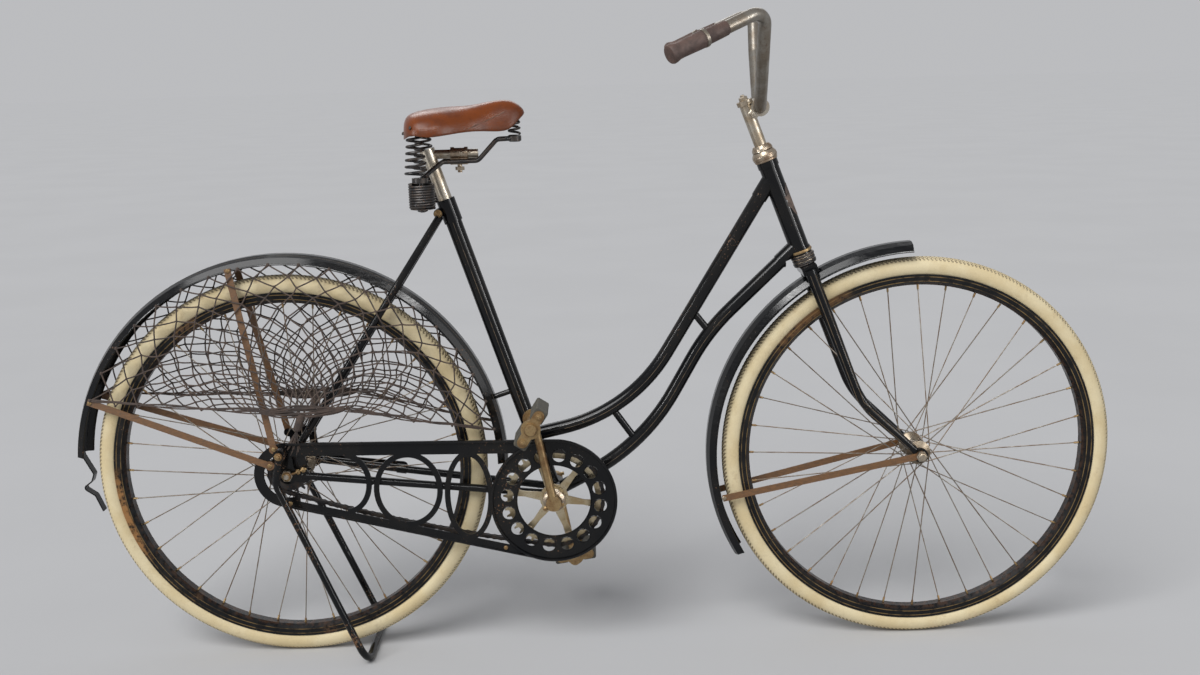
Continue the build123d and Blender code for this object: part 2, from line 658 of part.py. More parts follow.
# Chain guard
guard_up, guard_down = belt(GUARD_REAR_R, GUARD_DISC_R)
bands = []
for a, w in ((guard_up, GUARD_TOP_W), (guard_down, GUARD_LOW_W)):
    bands.append((tangent(a, GUARD_REAR_R, GUARD_DISC_R), tangent(a, GUARD_REAR_R - w, GUARD_DISC_R - w)))


def band_at(line, x):
    """Height of a guard band's edge at x."""
    (x0, z0), (x1, z1) = line
    return z0 + (z1 - z0) * (x - x0) / (x1 - x0)


guard2d = Pos(0, AXLE_Z) * (Circle(GUARD_REAR_R) - Circle(GUARD_REAR_R - GUARD_REAR_W))
LOOPS = (
    # share of the run, half length
    (0.2185, 46.0),
    (0.4513, 62.0),
    (0.6803, 44.0),
)
for share, rx in LOOPS:
    x = share * BB_X
    high, low = band_at(bands[0][1], x), band_at(bands[1][1], x)
    rz = (high - low) / 2 + GUARD_LOOP_W / 2
    guard2d += Pos(x, (high + low) / 2) * (Ellipse(rx, rz) - Ellipse(rx - GUARD_LOOP_W, rz - GUARD_LOOP_W))
clear_x = (20.0, LOOPS[0][0] * BB_X)
corners = [(x, band_at(bands[0][1], x)) for x in clear_x]
corners += [(x, band_at(bands[1][1], x)) for x in reversed(clear_x)]
guard2d -= make_face(Polyline(*corners, close=True))
for (p0, p1), (q0, q1) in bands:
    guard2d += make_face(Polyline(p0, p1, q1, q0, close=True))
guard2d -= Pos(BB_X, BB_Z) * Circle(GUARD_DISC_R - 1)
disc2d = Circle(GUARD_DISC_R) - Circle(GUARD_OPEN_R)
for k in range(GUARD_HOLES):
    turn = GUARD_HOLE_TURN + 360 / GUARD_HOLES * k
    disc2d -= Pos(*polar(0, 0, GUARD_HOLE_PCR, turn)) * Circle(GUARD_HOLE_R)
guard2d += Pos(BB_X, BB_Z) * disc2d
guard = plate(guard2d, GUARD_IN_Y, GUARD_OUT_Y)
top_line = bands[0][0]
roll_line = tangent(guard_up, GUARD_REAR_R - GUARD_BEAD_W, GUARD_DISC_R - GUARD_BEAD_W)
bead = make_face(Polyline(top_line[0], top_line[1], roll_line[1], roll_line[0], close=True))
bead += Pos(BB_X, BB_Z) * (Circle(GUARD_DISC_R) - Circle(GUARD_DISC_R - GUARD_BEAD_W))
guard += plate(bead, GUARD_OUT_Y, GUARD_OUT_Y - GUARD_BEAD_H)
hold = between(stay_in, stay_out, 0.712)
guard += across(hold[0], hold[2], 4, -hold[1] - 2, GUARD_IN_Y)
for part in (chain_stay, rear_end, seat_stay):
    guard -= mirror(part, about=Plane.XZ)

# Fenders and their stays
rear_fender = fender(0, REAR_FENDER_R, *REAR_FENDER_A)
save("rear_fender", rear_fender)
foot = seat_at(AXLE_Z + BRACKET_RISE)
reach = Vector(foot[0], 0, foot[2] - AXLE_Z).normalized()
start = tuple(Vector(0, 0, AXLE_Z) + reach * (REAR_FENDER_R + 0.1))
save("fender_bracket", rod(start, foot, 5) - seat_outer)
stay_y = -GUARD_OUT_Y + 0.5 + STAY_T / 2
edge_y = FENDER_HALF + 0.2 + STAY_T / 2
rear_stays = []
stay_runs = []
for low, angle in ((low_stay, LOW_STAY_A), (high_stay, HIGH_STAY_A)):
    hx, hz = polar(0, AXLE_Z, REAR_FENDER_R - 0.7 * FENDER_DROP, angle)
    ends = ((low[0], stay_y, low[1]), (hx, edge_y, hz))
    stay_runs.append((*ends, STAY_T / 2))
    bar = strip(*ends, STAY_W, STAY_T) + across(*low, 0.68 * STAY_W, -GUARD_OUT_Y + 0.4, stay_y + STAY_T / 2)
    bar += across(*low, 0.35 * STAY_W, END_OUT_Y, stay_y)
    rear_stays += both(bar - rear_end - rear_fender)
save("rear_fender_stays", *rear_stays)
for part in rear_stays:
    guard -= part
save("chain_guard", guard)
foot_x = BB_X - 67
foot_z = (band_at(bands[1][0], foot_x) + band_at(bands[1][1], foot_x)) / 2
bracket = across(foot_x, foot_z, 4, -BB_R, GUARD_IN_Y)
bracket += rod((foot_x, -BB_R, foot_z), (BB_X - 8, -BB_R, BB_Z - 0.8 * BB_R), 4)
save("guard_bracket", bracket - bb_solid)
tail = polar(0, AXLE_Z, REAR_FENDER_R, REAR_FENDER_A[1])
CLIP = ((-0.5, -1.3), (13.5, -35.3), (-0.5, -59.3), (25.5, -106.3))
clip_pts = [(tail[0] + x, tail[1] + z) for x, z in CLIP]
clip2d = slot2d(clip_pts[0], clip_pts[1], CLIP_W)
for a, b in zip(clip_pts[1:], clip_pts[2:]):
    clip2d += slot2d(a, b, CLIP_W)
save("stand_clip", plate(clip2d, -CLIP_HALF, CLIP_HALF) - rear_fender)

# Skirt nets and their ties
nets = []
lines = [(seat_start, seat_mid, SEAT_STAY_R), (seat_mid, seat_end, SEAT_STAY_R)] + stay_runs
apex = (NET_X, NET_Y, NET_Z)
for k in range(NET_STRINGS):
    turn = NET_A0 + k * (NET_A1 - NET_A0) / (NET_STRINGS - 1)
    ex, ez = polar(0, AXLE_Z, REAR_FENDER_R - FENDER_DROP + 0.5, turn)
    edge = (ex, FENDER_HALF + 0.2 + NET_W / 2, ez)
    course = []
    for p, q, r in lines:
        dx, dz = edge[0] - apex[0], edge[2] - apex[2]
        lx, lz = q[0] - p[0], q[2] - p[2]
        det = dx * lz - dz * lx
        m = ((p[0] - apex[0]) * lz - (p[2] - apex[2]) * lx) / det
        n = ((p[0] - apex[0]) * dz - (p[2] - apex[2]) * dx) / det
        if 0.06 < m < 0.97 and -0.1 < n < 1.1:
            need = p[1] + (q[1] - p[1]) * n + r + 3.5 * NET_W
            if need > apex[1] + (edge[1] - apex[1]) * m:
                course.append((m, (apex[0] + dx * m, need, apex[2] + dz * m)))
    stops = [c[1] for c in sorted(course)] + [edge]
    gap = (Vector(*stops[0]) - Vector(*apex)).length
    stops.insert(0, between(apex, stops[0], (TIE_R + 0.4) / gap))
    line = square_rod(stops[0], stops[1], NET_W)
    for p, q in zip(stops[1:], stops[2:]):
        line += square_rod(p, q, NET_W)
    nets += both(line)
save("skirt_nets", *nets)
tie = across(NET_X, NET_Z, TIE_R, NET_Y - 2.5, NET_Y + 2.5)
tie += rod(apex, between(seat_end, seat_mid, 0.15), 4)
save("net_ties", *both(tie - seat_stay))

# Saddle
arm_x = seat_at(SADDLE_ARM_Z)[0]
arm_line = ((arm_x - SADDLE_ARM_BACK, 0, SADDLE_ARM_Z), (arm_x + SADDLE_ARM_REACH, 0, SADDLE_ARM_Z))
post = rod(seat_at(SEAT_TOP_Z - POST_SUNK), seat_at(SADDLE_ARM_Z), POST_R) + rod(*arm_line, SADDLE_ARM_R)
post += rod(seat_at(SADDLE_ARM_Z - 10), seat_at(SADDLE_ARM_Z + 9), POST_R + 1.5)
save("seat_post", post)
rail_z = SADDLE_ARM_Z - RAIL_DROP
seat_z = SADDLE_ARM_Z - 40
RAIL = (
    # from the arm's rear: x, y, z
    (-10, SPRING_Y, seat_z),
    (25, 22, rail_z),
    (87, 9, rail_z),
    (121, 9, rail_z + 36),
    (149, 7, rail_z + 37),
)
rail = bent([(arm_x + x, y, z) for x, y, z in RAIL], 12.0, RAIL_R)
eye_x = arm_x + RAIL[0][0]
rail += Pos(eye_x, SPRING_Y, seat_z) * Cylinder(0.6 * SPRING_R, 2 * RAIL_R)
nose_x = arm_x + RAIL[-1][0] + 3
nose_z = rail_z + 37
nose = Pos(nose_x, 0, nose_z) * Cylinder(12, 12)
rails = [part - nose for part in both(rail)]
save("saddle_rails", *rails)
clamp_x = arm_x + 54
clamp = Pos(clamp_x, 0, rail_z) * Box(30, 27, 11)
clamp += rod((clamp_x - 15, 0, SADDLE_ARM_Z), (clamp_x + 15, 0, SADDLE_ARM_Z), SADDLE_ARM_R + 2.5)
for x in (clamp_x - 15, clamp_x + 9):
    clamp += rod((x, 0, SADDLE_ARM_Z), (x + 6, 0, SADDLE_ARM_Z), SADDLE_ARM_R + 4)
clamp += Pos(clamp_x, 0, rail_z) * Cylinder(4, 20, align=HANG)
clamp += Pos(clamp_x, 0, rail_z - 10) * extrude(RegularPolygon(8, 6), amount=-6)
clamp -= rod(*arm_line, SADDLE_ARM_R)
for part in rails:
    clamp -= part
save("saddle_clamp", clamp)

SADDLE = (
    # x from the arm's rear, half width, crown z, edge z, both above the arm
    (-33, 58, 68, 28),
    (-12, 95, 81, 28),
    (26, 97, 84, 32),
    (70, 62, 84, 38),
    (112, 38, 91, 40),
    (147, 29, 91, 50),
    (172, 14, 76, 66),
)
slices = []
for x, half, crown, edge in SADDLE:
    rows = []
    for inset in (0, SADDLE_HIDE):
        size = (arm_x + x, half, SADDLE_ARM_Z + crown, SADDLE_ARM_Z + edge, inset)
        rows.append(saddle_section(*size))
    a, b, c, d, e = rows[0]
    k, m, n, p, q = rows[1]
    edges = [Line(a, b), ThreePointArc(b, c, d), Line(d, e), Line(e, q), Line(q, p), ThreePointArc(p, n, m)]
    slices.append(make_face(Wire(edges + [Line(m, k), Line(k, a)])))
saddle = loft(slices, ruled=True)
save("saddle_top", saddle)
BARREL_RINGS = 10
barrel = []
low_z = seat_z - RAIL_R - BARREL_RINGS * WIRE
for k in range(BARREL_RINGS):
    barrel += [(SPRING_R - 0.5 * WIRE, low_z + k * WIRE), (SPRING_R, low_z + (k + 0.5) * WIRE)]
barrel += [(SPRING_R - 0.5 * WIRE, seat_z - RAIL_R), (BOLT_R, seat_z - RAIL_R)]
barrel += [(BOLT_R, low_z - WIRE), (1.5 * BOLT_R, low_z - WIRE), (1.5 * BOLT_R, low_z)]
barrel_x = eye_x + 2
spring_at = Plane(origin=(barrel_x, SPRING_Y, 0))
springs = both(turned(spring_at, barrel))
open_coil = coil(eye_x - 6, SPRING_Y, 18.7, 9.5, seat_z + RAIL_R + WIRE / 2, SADDLE_ARM_Z + 66, 8.5)
springs += [main_piece(part - saddle) for part in both(open_coil)]
nose_coil = coil(nose_x, 0, 9.5, 8.5, nose_z + 6 + WIRE / 2, SADDLE_ARM_Z + 84, 4.5)
springs += [nose, main_piece(nose_coil - saddle)]
save("saddle_springs", *springs)

# Fork
steerer = HEAD * Pos(0, 0, CROWN_S - 18) * Cylinder(STEERER_R, HEAD_LEN + 42, align=BASE)
crown = HEAD * Pos(0, 0, CROWN_S) * Cylinder(HEAD_R + 2.5, 7, align=HANG)
crown += HEAD * Pos(0, 0, CROWN_S - 7) * Box(28, 2 * CROWN_HALF, 14, align=HANG)
crown += HEAD * Pos(0, 0, CROWN_S - 18) * Cylinder(9, 24, align=HANG)
tip = Vector(WHEELBASE, FORK_END_Y, AXLE_Z)
knee = tip + Vector(*FORK_KNEE)
top = Vector(*head_at(CROWN_S - 13)) + Vector(0, CROWN_HALF - 1, 0)
d1 = (knee - top).normalized()
d2 = (tip - knee).normalized()
k1 = knee - d1 * KNEE_BACK
k2 = knee + d2 * KNEE_BACK
toe = tip - d2 * 15
blade = taper(tuple(top), tuple(k1), BLADE_R + 2.4, BLADE_R)
arc = TangentArc(k1, k2, tangent=d1)
blade += sweep(Plane(origin=k1, z_dir=d1) * Circle(BLADE_R), path=arc)
blade += taper(tuple(arc @ 1), tuple(toe), BLADE_R, BLADE_R - 2)
fork_end = Pos(*FRONT_AXLE) * Circle(FORK_END_R) + slot2d(FRONT_AXLE, (toe.X, toe.Z), FORK_END_R)
blade += plate(fork_end, FORK_END_Y - END_T / 2, FORK_END_Y + END_T / 2)
blade -= across(*FRONT_AXLE, AXLE_R + FIT_GAP, 40, 60)
blades = both(blade)
front_fender = fender(WHEELBASE, FRONT_FENDER_R, *FRONT_FENDER_A)
crown = crown + steerer - across(*FRONT_AXLE, FRONT_FENDER_R + 0.1, -60, 60)
for part in blades:
    crown -= part
save("fork_crown", crown)
save("fork_blades", *blades)
save("front_fender", front_fender)

front_out = FORK_END_Y + END_T / 2
front_axle = rod((WHEELBASE, -front_out - 15, AXLE_Z), (WHEELBASE, front_out + 15, AXLE_Z), AXLE_R)
for nut in both(hexagon(*FRONT_AXLE, 10, front_out + 2.6, front_out + 9)):
    front_axle += nut
save("front_axle", front_axle)
hx, hz = polar(*FRONT_AXLE, FRONT_FENDER_R - 1.2 * FENDER_DROP, FRONT_STAY_A)
stay = strip((WHEELBASE, front_out + 1.3, AXLE_Z), (hx, edge_y, hz), STAY_W, STAY_T)
stay += across(*FRONT_AXLE, 9, front_out + 0.1, front_out + 2.4)
stay -= across(*FRONT_AXLE, AXLE_R + FIT_GAP, 40, 70)
save("front_fender_stays", *both(stay - front_fender - blade))

# Stem, bar and grips
stem_top = HEAD_LEN + STEM_RISE
hold_at = head_at(HEAD_LEN + CLAMP_RISE)
clamp_at = (hold_at[0] + 17.3, 0, hold_at[2] + 13.6)
stem = HEAD * Pos(0, 0, HEAD_LEN + 11.8) * Cylinder(STEERER_R, STEM_RISE - 11.8, align=BASE)
stem += HEAD * Pos(0, 0, stem_top) * Cylinder(STEERER_R + 3, 8, align=BASE)
stem += across(clamp_at[0], clamp_at[2], BAR_R + 5, -20, 20) + rod(hold_at, clamp_at, STEERER_R + 1)
BAR = (
    # from the clamp: x, y, z
    (0, 28, 0),
    (-0.6, 112, 90.4),
    (0.2, 160, 164.4),
    (-151.7, 250, 98.4),
)
half = [(clamp_at[0] + x, y, clamp_at[2] + z) for x, y, z in BAR]
bar = bent([(x, -y, z) for x, y, z in reversed(half)] + half, BAR_BEND, BAR_R)
askew = HEAD.location * Rot(0, 0, -BAR_SKEW) * HEAD.location.inverse()
GRIP = (
    # radius, distance from the end
    (0, 0), (GRIP_R, 0), (GRIP_R + 1.6, 4), (GRIP_R + 1.2, 9), (GRIP_R - 0.8, 16), (GRIP_R, 66),
    (GRIP_R + 1, 67), (GRIP_R + 1, 73), (GRIP_R - 1.4, 74), (GRIP_R - 2, 114), (0, 114),
)
end = Vector(*half[3])
inward = (Vector(*half[2]) - end).normalized()
grips = both(turned(Plane(origin=end - inward * 6, z_dir=inward), GRIP))
bar_set = askew * bar
save("stem", stem - bar_set)
save("handlebar", bar_set)
save("grips", *[askew * (part - bar) for part in grips])

# Stand
LEG = (
    (STAND_X, STAND_Y, STAND_Z),
    (STAND_X - 10.5, STAND_Y, AXLE_Z - 10),
    (41, STAND_Y + 4, AXLE_Z - 141),
    (STAND_FOOT_X, STAND_FOOT_Y, STAND_R),
)
stand = bent(list(LEG) + [(x, -y, z) for x, y, z in reversed(LEG)], STAND_BEND, STAND_R)
for eye in both(across(STAND_X, STAND_Z, STAND_EYE_R, STAND_Y - STAND_EYE_HALF, STAND_Y + STAND_EYE_HALF)):
    stand += eye
save("stand", stand - across(STAND_X, STAND_Z, STAND_PIN_R + RUN_GAP, -STAND_FOOT_Y - 4, STAND_FOOT_Y + 4))
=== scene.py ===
"""Looks of the step-through safety bicycle: worn enamel, cord nets, cream tyres and a leather saddle.

Shapes are laid out in millimetres from the rear axle: x forward, y to the rider's left, z up from the floor.
"""
import random
from math import acos, atan2, cos, hypot, pi, radians, sin, tan

import bmesh
import bpy
from mathutils import Matrix, Vector


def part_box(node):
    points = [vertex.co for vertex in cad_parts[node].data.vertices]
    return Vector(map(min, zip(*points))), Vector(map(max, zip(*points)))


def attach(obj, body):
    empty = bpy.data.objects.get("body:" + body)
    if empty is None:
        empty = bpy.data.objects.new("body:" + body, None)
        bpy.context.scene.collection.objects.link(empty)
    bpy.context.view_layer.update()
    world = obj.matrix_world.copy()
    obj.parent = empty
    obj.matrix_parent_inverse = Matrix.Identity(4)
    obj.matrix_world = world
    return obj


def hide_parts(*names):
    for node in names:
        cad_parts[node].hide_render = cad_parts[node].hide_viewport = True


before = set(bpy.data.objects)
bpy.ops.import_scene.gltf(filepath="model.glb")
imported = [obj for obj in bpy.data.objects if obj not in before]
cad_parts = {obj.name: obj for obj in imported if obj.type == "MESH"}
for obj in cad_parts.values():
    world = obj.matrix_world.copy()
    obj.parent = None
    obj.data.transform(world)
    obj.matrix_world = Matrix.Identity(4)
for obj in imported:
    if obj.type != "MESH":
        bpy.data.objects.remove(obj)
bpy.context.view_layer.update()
random.seed(7)

MM = 0.001
SIDES = (-1, 1)
LOW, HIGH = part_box("rear_tyre")
AXLE = (LOW + HIGH) / 2
SHIFT = Vector((AXLE.x, 0, 0))


def span(node):
    """Lowest and highest corners of a CAD node, in millimetres from the rear axle."""
    lo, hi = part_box(node)
    return (lo - SHIFT) / MM, (hi - SHIFT) / MM


def centre(node):
    """Centre of a CAD node, in millimetres from the rear axle."""
    lo, hi = span(node)
    return (lo + hi) / 2


# Wheels
TYRE_R = centre("rear_tyre").z
WHEELBASE = centre("front_tyre").x
TYRE_HALF = span("rear_tyre")[1].y
RIM_OUT_R = span("rear_rim")[1].x
SEAT_R = RIM_OUT_R - 7
SPOKE_COUNT = 36
SPOKE_R = 1.05
NIPPLE_LEN = 9.0
FLANGES = {"front": (22.0, 30.0), "rear": (33.0, 33.0)}  # radius, distance from the middle
TREAD_DEPTH = 1.7
TREAD_RIBS = 300
TREAD_SLANT = 2.2
GROOVE_SHARE = 0.42
BEAD_HALF = 11.5
# Drive
BB = centre("bottom_bracket")
CHAIN_Y = centre("chain").y
PITCH = 12.7
CHAIN_SAG = 10.0
PLATE_R = 4.2
PLATE_WAIST = 2.9
PLATE_THICK = 1.1
PLATE_OFF = (3.7, 2.5)  # outer and inner links, from the middle
PIN_R, PIN_LEN = 1.8, 10.0
ROLLER_R, ROLLER_LEN = 3.4, 3.8
RING_TEETH = 44
COG_TEETH = 18
RING_R = PITCH / 2 / sin(pi / RING_TEETH)
COG_R = PITCH / 2 / sin(pi / COG_TEETH)
GUARD_REAR_R = COG_R + 23.4
GUARD_DISC_R = RING_R + 25.5
CRANK_TURN = radians(101.2)
CRANK_Y = 74.0
BOLT_R = 72.0
PEDAL_TILT = {"right": radians(57), "left": radians(8)}
PEDAL_REACH = 27.0
PEDAL_END = 168.0
# Fenders and net
REAR_FENDER_R = span("rear_fender")[1].z - TYRE_R
FRONT_FENDER_R = span("front_fender")[1].z - TYRE_R
FENDER_HALF = span("rear_fender")[1].y
FENDER_DROP = 16.0
NET_APEX = Vector((36.0, 72.0, 478.0))
NET_SPREAD = 150.0
NET_COLUMNS = 18
NET_ROWS = 17
NET_A0 = 10.0
NET_A1 = 158.0
NET_LOOSE = 0.018
STRING_R = 1.4
NET_STAYS = (
    # ends and half thickness of the bars that the net passes over
    (Vector((290, 19, 806)), Vector((218, 37, 699)), 6.5),
    (Vector((218, 37, 699)), Vector((24, 48, 409)), 6.5),
    (Vector((-30, 62.5, 374)), Vector((-356, 29.2, 493)), 1.2),
    (Vector((-21, 62.5, 404)), Vector((-87, 29.2, 727)), 1.2),
)
# Steering head
HEAD_SLOPE = 0.3739
HEAD_DIR = Vector((-HEAD_SLOPE, 0, 1)).normalized()
HEAD_FOOT = Vector((932.3, 0, 720.6))
HEAD_LEN = 179.0
HEAD_R = 17.5
BAR_SKEW = radians(-3.5)
BAR_CLAMP = HEAD_FOOT + HEAD_DIR * (HEAD_LEN + 85.5) + Vector((17.3, 0, 13.6))
# Saddle
LEATHER = 4.5
SPRING_Y = 62.0
SPRING_EYE = Vector((265.1, 0, 875.0))
SPRING_WIRE = 2.3
NOSE_BASE = Vector((427.1, 0, 939.6))
# Screws: radius and height of the head
STAY_SCREW = (4.2, 2.4)
GUARD_SCREW = (4.0, 2.4)
# Camera fitted to the photograph
CAMERA_AT = Vector((556.0, -2420.08, 1058.2))
CAMERA_YAW = 0.0047
CAMERA_PITCH = 0.1957
CAMERA_ROLL = 0.0279
CAMERA_LENS = 40.95


class Finish:
    """A procedural material put together from noise."""

    def __init__(self, name, metal=0.0, coat=0.0, shine=0.5):
        self.mat = bpy.data.materials.new(name)
        self.mat.use_nodes = True
        self.tree = self.mat.node_tree
        self.shader = self.tree.nodes["Principled BSDF"]
        for key, value in (("Metallic", metal), ("Coat Weight", coat), ("Specular IOR Level", shine)):
            self.shader.inputs[key].default_value = value
        self.place = self.tree.nodes.new("ShaderNodeTexCoord").outputs["Object"]

    def put(self, target, value):
        if isinstance(value, bpy.types.NodeSocket):
            self.tree.links.new(value, target)
        else:
            target.default_value = value

    def add(self, kind, inputs, **settings):
        made = self.tree.nodes.new(kind)
        for key, value in settings.items():
            setattr(made, key, value)
        for key, value in inputs.items():
            self.put(made.inputs[key], value)
        return made

    def noise(self, scale, detail, rough=0.55, stretch=None):
        """Noise with about `scale` features a metre."""
        place = self.place
        if stretch:
            place = self.add("ShaderNodeMapping", {"Vector": place, "Scale": stretch}).outputs[0]
        inputs = {"Vector": place, "Scale": scale, "Detail": detail, "Roughness": rough}
        return self.add("ShaderNodeTexNoise", inputs).outputs[0]

    def step(self, value, low, high, to_low=0.0, to_high=1.0):
        inputs = {0: value, 1: low, 2: high, 3: to_low, 4: to_high}
        return self.add("ShaderNodeMapRange", inputs, interpolation_type="SMOOTHSTEP").outputs[0]

    def maths(self, operation, a, b):
        return self.add("ShaderNodeMath", {0: a, 1: b}, operation=operation).outputs[0]

    def times(self, a, b):
        return self.maths("MULTIPLY", a, b)

    def vector(self, operation, a, b, output=0):
        return self.add("ShaderNodeVectorMath", {0: a, 1: b}, operation=operation).outputs[output]

    def blend(self, share, a, b):
        inputs = {0: share, 6: a, 7: b}
        return self.add("ShaderNodeMix", inputs, data_type="RGBA").outputs[2]

    def tint(self, colour, mask, share, tone):
        """Lay a share of a tone over a colour where the mask is."""
        return self.blend(self.times(mask, share), colour, tone)

    def cells(self, scale):
        """Distance to the edges of small cells, about `scale` a metre."""
        inputs = {"Vector": self.place, "Scale": scale}
        return self.add("ShaderNodeTexVoronoi", inputs, feature="DISTANCE_TO_EDGE").outputs[0]

    def away(self, x):
        """The way here from a wheel's axle at x millimetres."""
        return self.vector("SUBTRACT", self.place, (AXLE.x + x * MM, 0, TYRE_R * MM))

    def radius(self, x):
        """Distance from a wheel's axle."""
        flat = self.vector("MULTIPLY", self.away(x), (1, 0, 1))
        return self.vector("LENGTH", flat, (0, 0, 0), "Value")

    def toward(self, x, angle):
        """Cosine between the way from a wheel's axle and an angle in degrees."""
        ray = (cos(radians(angle)), 0, sin(radians(angle)))
        along = self.vector("DOT_PRODUCT", self.away(x), ray, "Value")
        return self.maths("DIVIDE", along, self.radius(x))

    def line(self, value, at, half):
        """1 where value is within half of at."""
        off = self.maths("ABSOLUTE", self.maths("SUBTRACT", value, at), 0.0)
        return self.step(off, half * 0.7, half, 1.0, 0.0)

    def finish(self, colour, rough, height, strength, depth):
        bump = self.add("ShaderNodeBump", {"Height": height, "Strength": strength, "Distance": depth})
        for key, value in (("Base Color", colour), ("Roughness", rough), ("Normal", bump.outputs[0])):
            self.put(self.shader.inputs[key], value)
        return self.mat


BLACK = (0.004, 0.0045, 0.0055, 1)
BLACK_WORN = (0.012, 0.011, 0.010, 1)
RUST = (0.105, 0.048, 0.022, 1)
RUST_PALE = (0.24, 0.13, 0.065, 1)
GOLD = (0.30, 0.19, 0.07, 1)
BARE_RIM = (0.33, 0.165, 0.06, 1)


def enamel_colour(f, wear):
    """Black enamel with worn areas and brown chips; returns colour, chip mask and fine noise."""
    cloud = f.noise(9.0, 5.0)
    fine = f.noise(260.0, 6.0, 0.65)
    specks = f.noise(900.0, 3.0)
    tired = f.step(cloud, 0.42, 0.70)
    colour = f.blend(tired, BLACK, BLACK_WORN)
    reach = f.times(f.step(cloud, 0.45, 0.72), wear)
    chips = f.step(f.maths("ADD", fine, reach), 0.70, 0.74)
    brown = f.blend(f.step(specks, 0.35, 0.65), RUST, RUST_PALE)
    return f.blend(chips, colour, brown), chips, fine


def enamel(name="worn_enamel", wear=0.12):
    """Glossy black enamel gone dull and chipped."""
    f = Finish(name, shine=0.25)
    colour, chips, fine = enamel_colour(f, wear)
    scratch = f.noise(60.0, 5.0, 0.7, (1.0, 1.0, 5.0))
    rough = f.maths("ADD", f.step(scratch, 0.3, 0.75, 0.09, 0.2), f.times(chips, 0.4))
    height = f.maths("SUBTRACT", f.times(fine, 0.12), chips)
    return f.finish(colour, rough, height, 0.25, 0.0003)


def rim_enamel(name, x, worn_at, worn):
    """Black rim with two thin worn gold lines, rust along the inner edge and a bare stretch at one angle."""
    f = Finish(name, shine=0.25)
    colour, chips, fine = enamel_colour(f, 0.10)
    radius = f.radius(x)
    patchy = f.step(f.noise(40.0, 5.0), 0.36, 0.56, 0.1, 0.75)
    for at in (RIM_OUT_R - 4.5, RIM_OUT_R - 12.5):
        colour = f.tint(colour, f.line(radius, at * MM, 0.0007), patchy, GOLD)
    inner = f.step(radius, (RIM_OUT_R - 19.0) * MM, (RIM_OUT_R - 14.0) * MM, 0.4, 0.0)
    colour = f.tint(colour, inner, f.step(f.noise(120.0, 6.0), 0.42, 0.6), RUST)
    bare = f.step(f.noise(5.0, 2.0), 0.63, 0.70)
    colour = f.tint(colour, bare, f.step(f.noise(150.0, 6.0), 0.40, 0.55), RUST_PALE)
    stretch = f.step(f.toward(x, worn_at), cos(radians(18)), cos(radians(8)))
    outer = f.step(radius, (RIM_OUT_R - 13.0) * MM, (RIM_OUT_R - 9.0) * MM)
    rubbed = f.times(stretch, f.step(f.noise(70.0, 6.0, 0.7), 0.36, 0.54, 0.0, worn))
    colour = f.tint(colour, rubbed, outer, BARE_RIM)
    rough = f.step(f.noise(80.0, 5.0), 0.3, 0.7, 0.22, 0.45)
    return f.finish(colour, rough, f.maths("SUBTRACT", fine, chips), 0.25, 0.0003)


def mottled(name, cloud, reach, tones, rough, bump, spots=None, fine=None, **shader):
    """Two tones in clouds, with or without spots of a third.

    cloud and fine are noises, reach is where the cloud goes from one tone to the other, rough is the least and the
    most, and bump is strength and depth. spots are a noise, its reach, their share, their tone, and the roughness
    that they add. The bump follows fine, else the spots, else the cloud.
    """
    f = Finish(name, **shader)
    relief = patchy = f.noise(*cloud)
    colour = f.blend(f.step(patchy, *reach), *tones)
    roughness = f.step(patchy, 0.3, 0.7, *rough)
    if spots:
        grain, edge, share, tone, dull = spots
        relief = f.step(f.noise(*grain), *edge)
        colour = f.tint(colour, relief, share, tone)
        roughness = f.maths("ADD", roughness, f.times(relief, dull))
    if fine:
        relief = f.noise(*fine)
    return f.finish(colour, roughness, relief, *bump)


def nickel(name, pale, deep):
    """Old nickel plate, dull, with brown spots."""
    spots = (420.0, 5.0, 0.7), (0.58, 0.68), 1.0, (0.13, 0.075, 0.04, 1), 0.25
    return mottled(name, (35.0, 6.0, 0.6), (0.35, 0.7), (pale, deep), (0.24, 0.44), (0.2, 0.0002), spots, metal=0.92)


def tan_paint():
    """Tan paint on flat stays, grained along and rubbed."""
    f = Finish("tan_paint", coat=0.1)
    grain = f.noise(90.0, 6.0, 0.7, (1.0, 1.0, 4.0))
    rub = f.step(f.noise(240.0, 5.0, 0.65), 0.56, 0.68)
    colour = f.blend(f.step(grain, 0.3, 0.7), (0.215, 0.102, 0.035, 1), (0.125, 0.060, 0.023, 1))
    colour = f.blend(rub, colour, (0.10, 0.060, 0.032, 1))
    rough = f.step(grain, 0.3, 0.7, 0.38, 0.58)
    return f.finish(colour, rough, f.maths("SUBTRACT", grain, rub), 0.25, 0.0003)


def cream_rubber(name, x):
    """Cream tyre rubber, yellowed, stained near the rim and crazed."""
    f = Finish(name)
    radius = f.radius(x)
    colour = f.blend(f.step(f.noise(16.0, 5.0), 0.35, 0.68), (0.80, 0.68, 0.43, 1), (0.71, 0.57, 0.32, 1))
    stain = f.step(f.noise(45.0, 6.0, 0.65), 0.55, 0.75)
    colour = f.tint(colour, stain, 0.4, (0.46, 0.32, 0.15, 1))
    low = f.step(radius, SEAT_R * MM, (SEAT_R + 9) * MM, 0.6, 0.0)
    colour = f.blend(low, colour, (0.34, 0.24, 0.12, 1))
    road = f.step(radius, (TYRE_R - 6) * MM, TYRE_R * MM, 0.0, 0.45)
    colour = f.tint(colour, road, f.noise(90.0, 5.0), (0.33, 0.27, 0.18, 1))
    crazed = f.step(f.cells(170.0), 0.0, 0.05, 1.0, 0.0)
    colour = f.tint(colour, crazed, 0.12, (0.32, 0.22, 0.10, 1))
    rough = f.step(f.noise(120.0, 4.0), 0.3, 0.7, 0.62, 0.8)
    return f.finish(colour, rough, f.maths("SUBTRACT", f.noise(400.0, 4.0), crazed), 0.25, 0.0004)


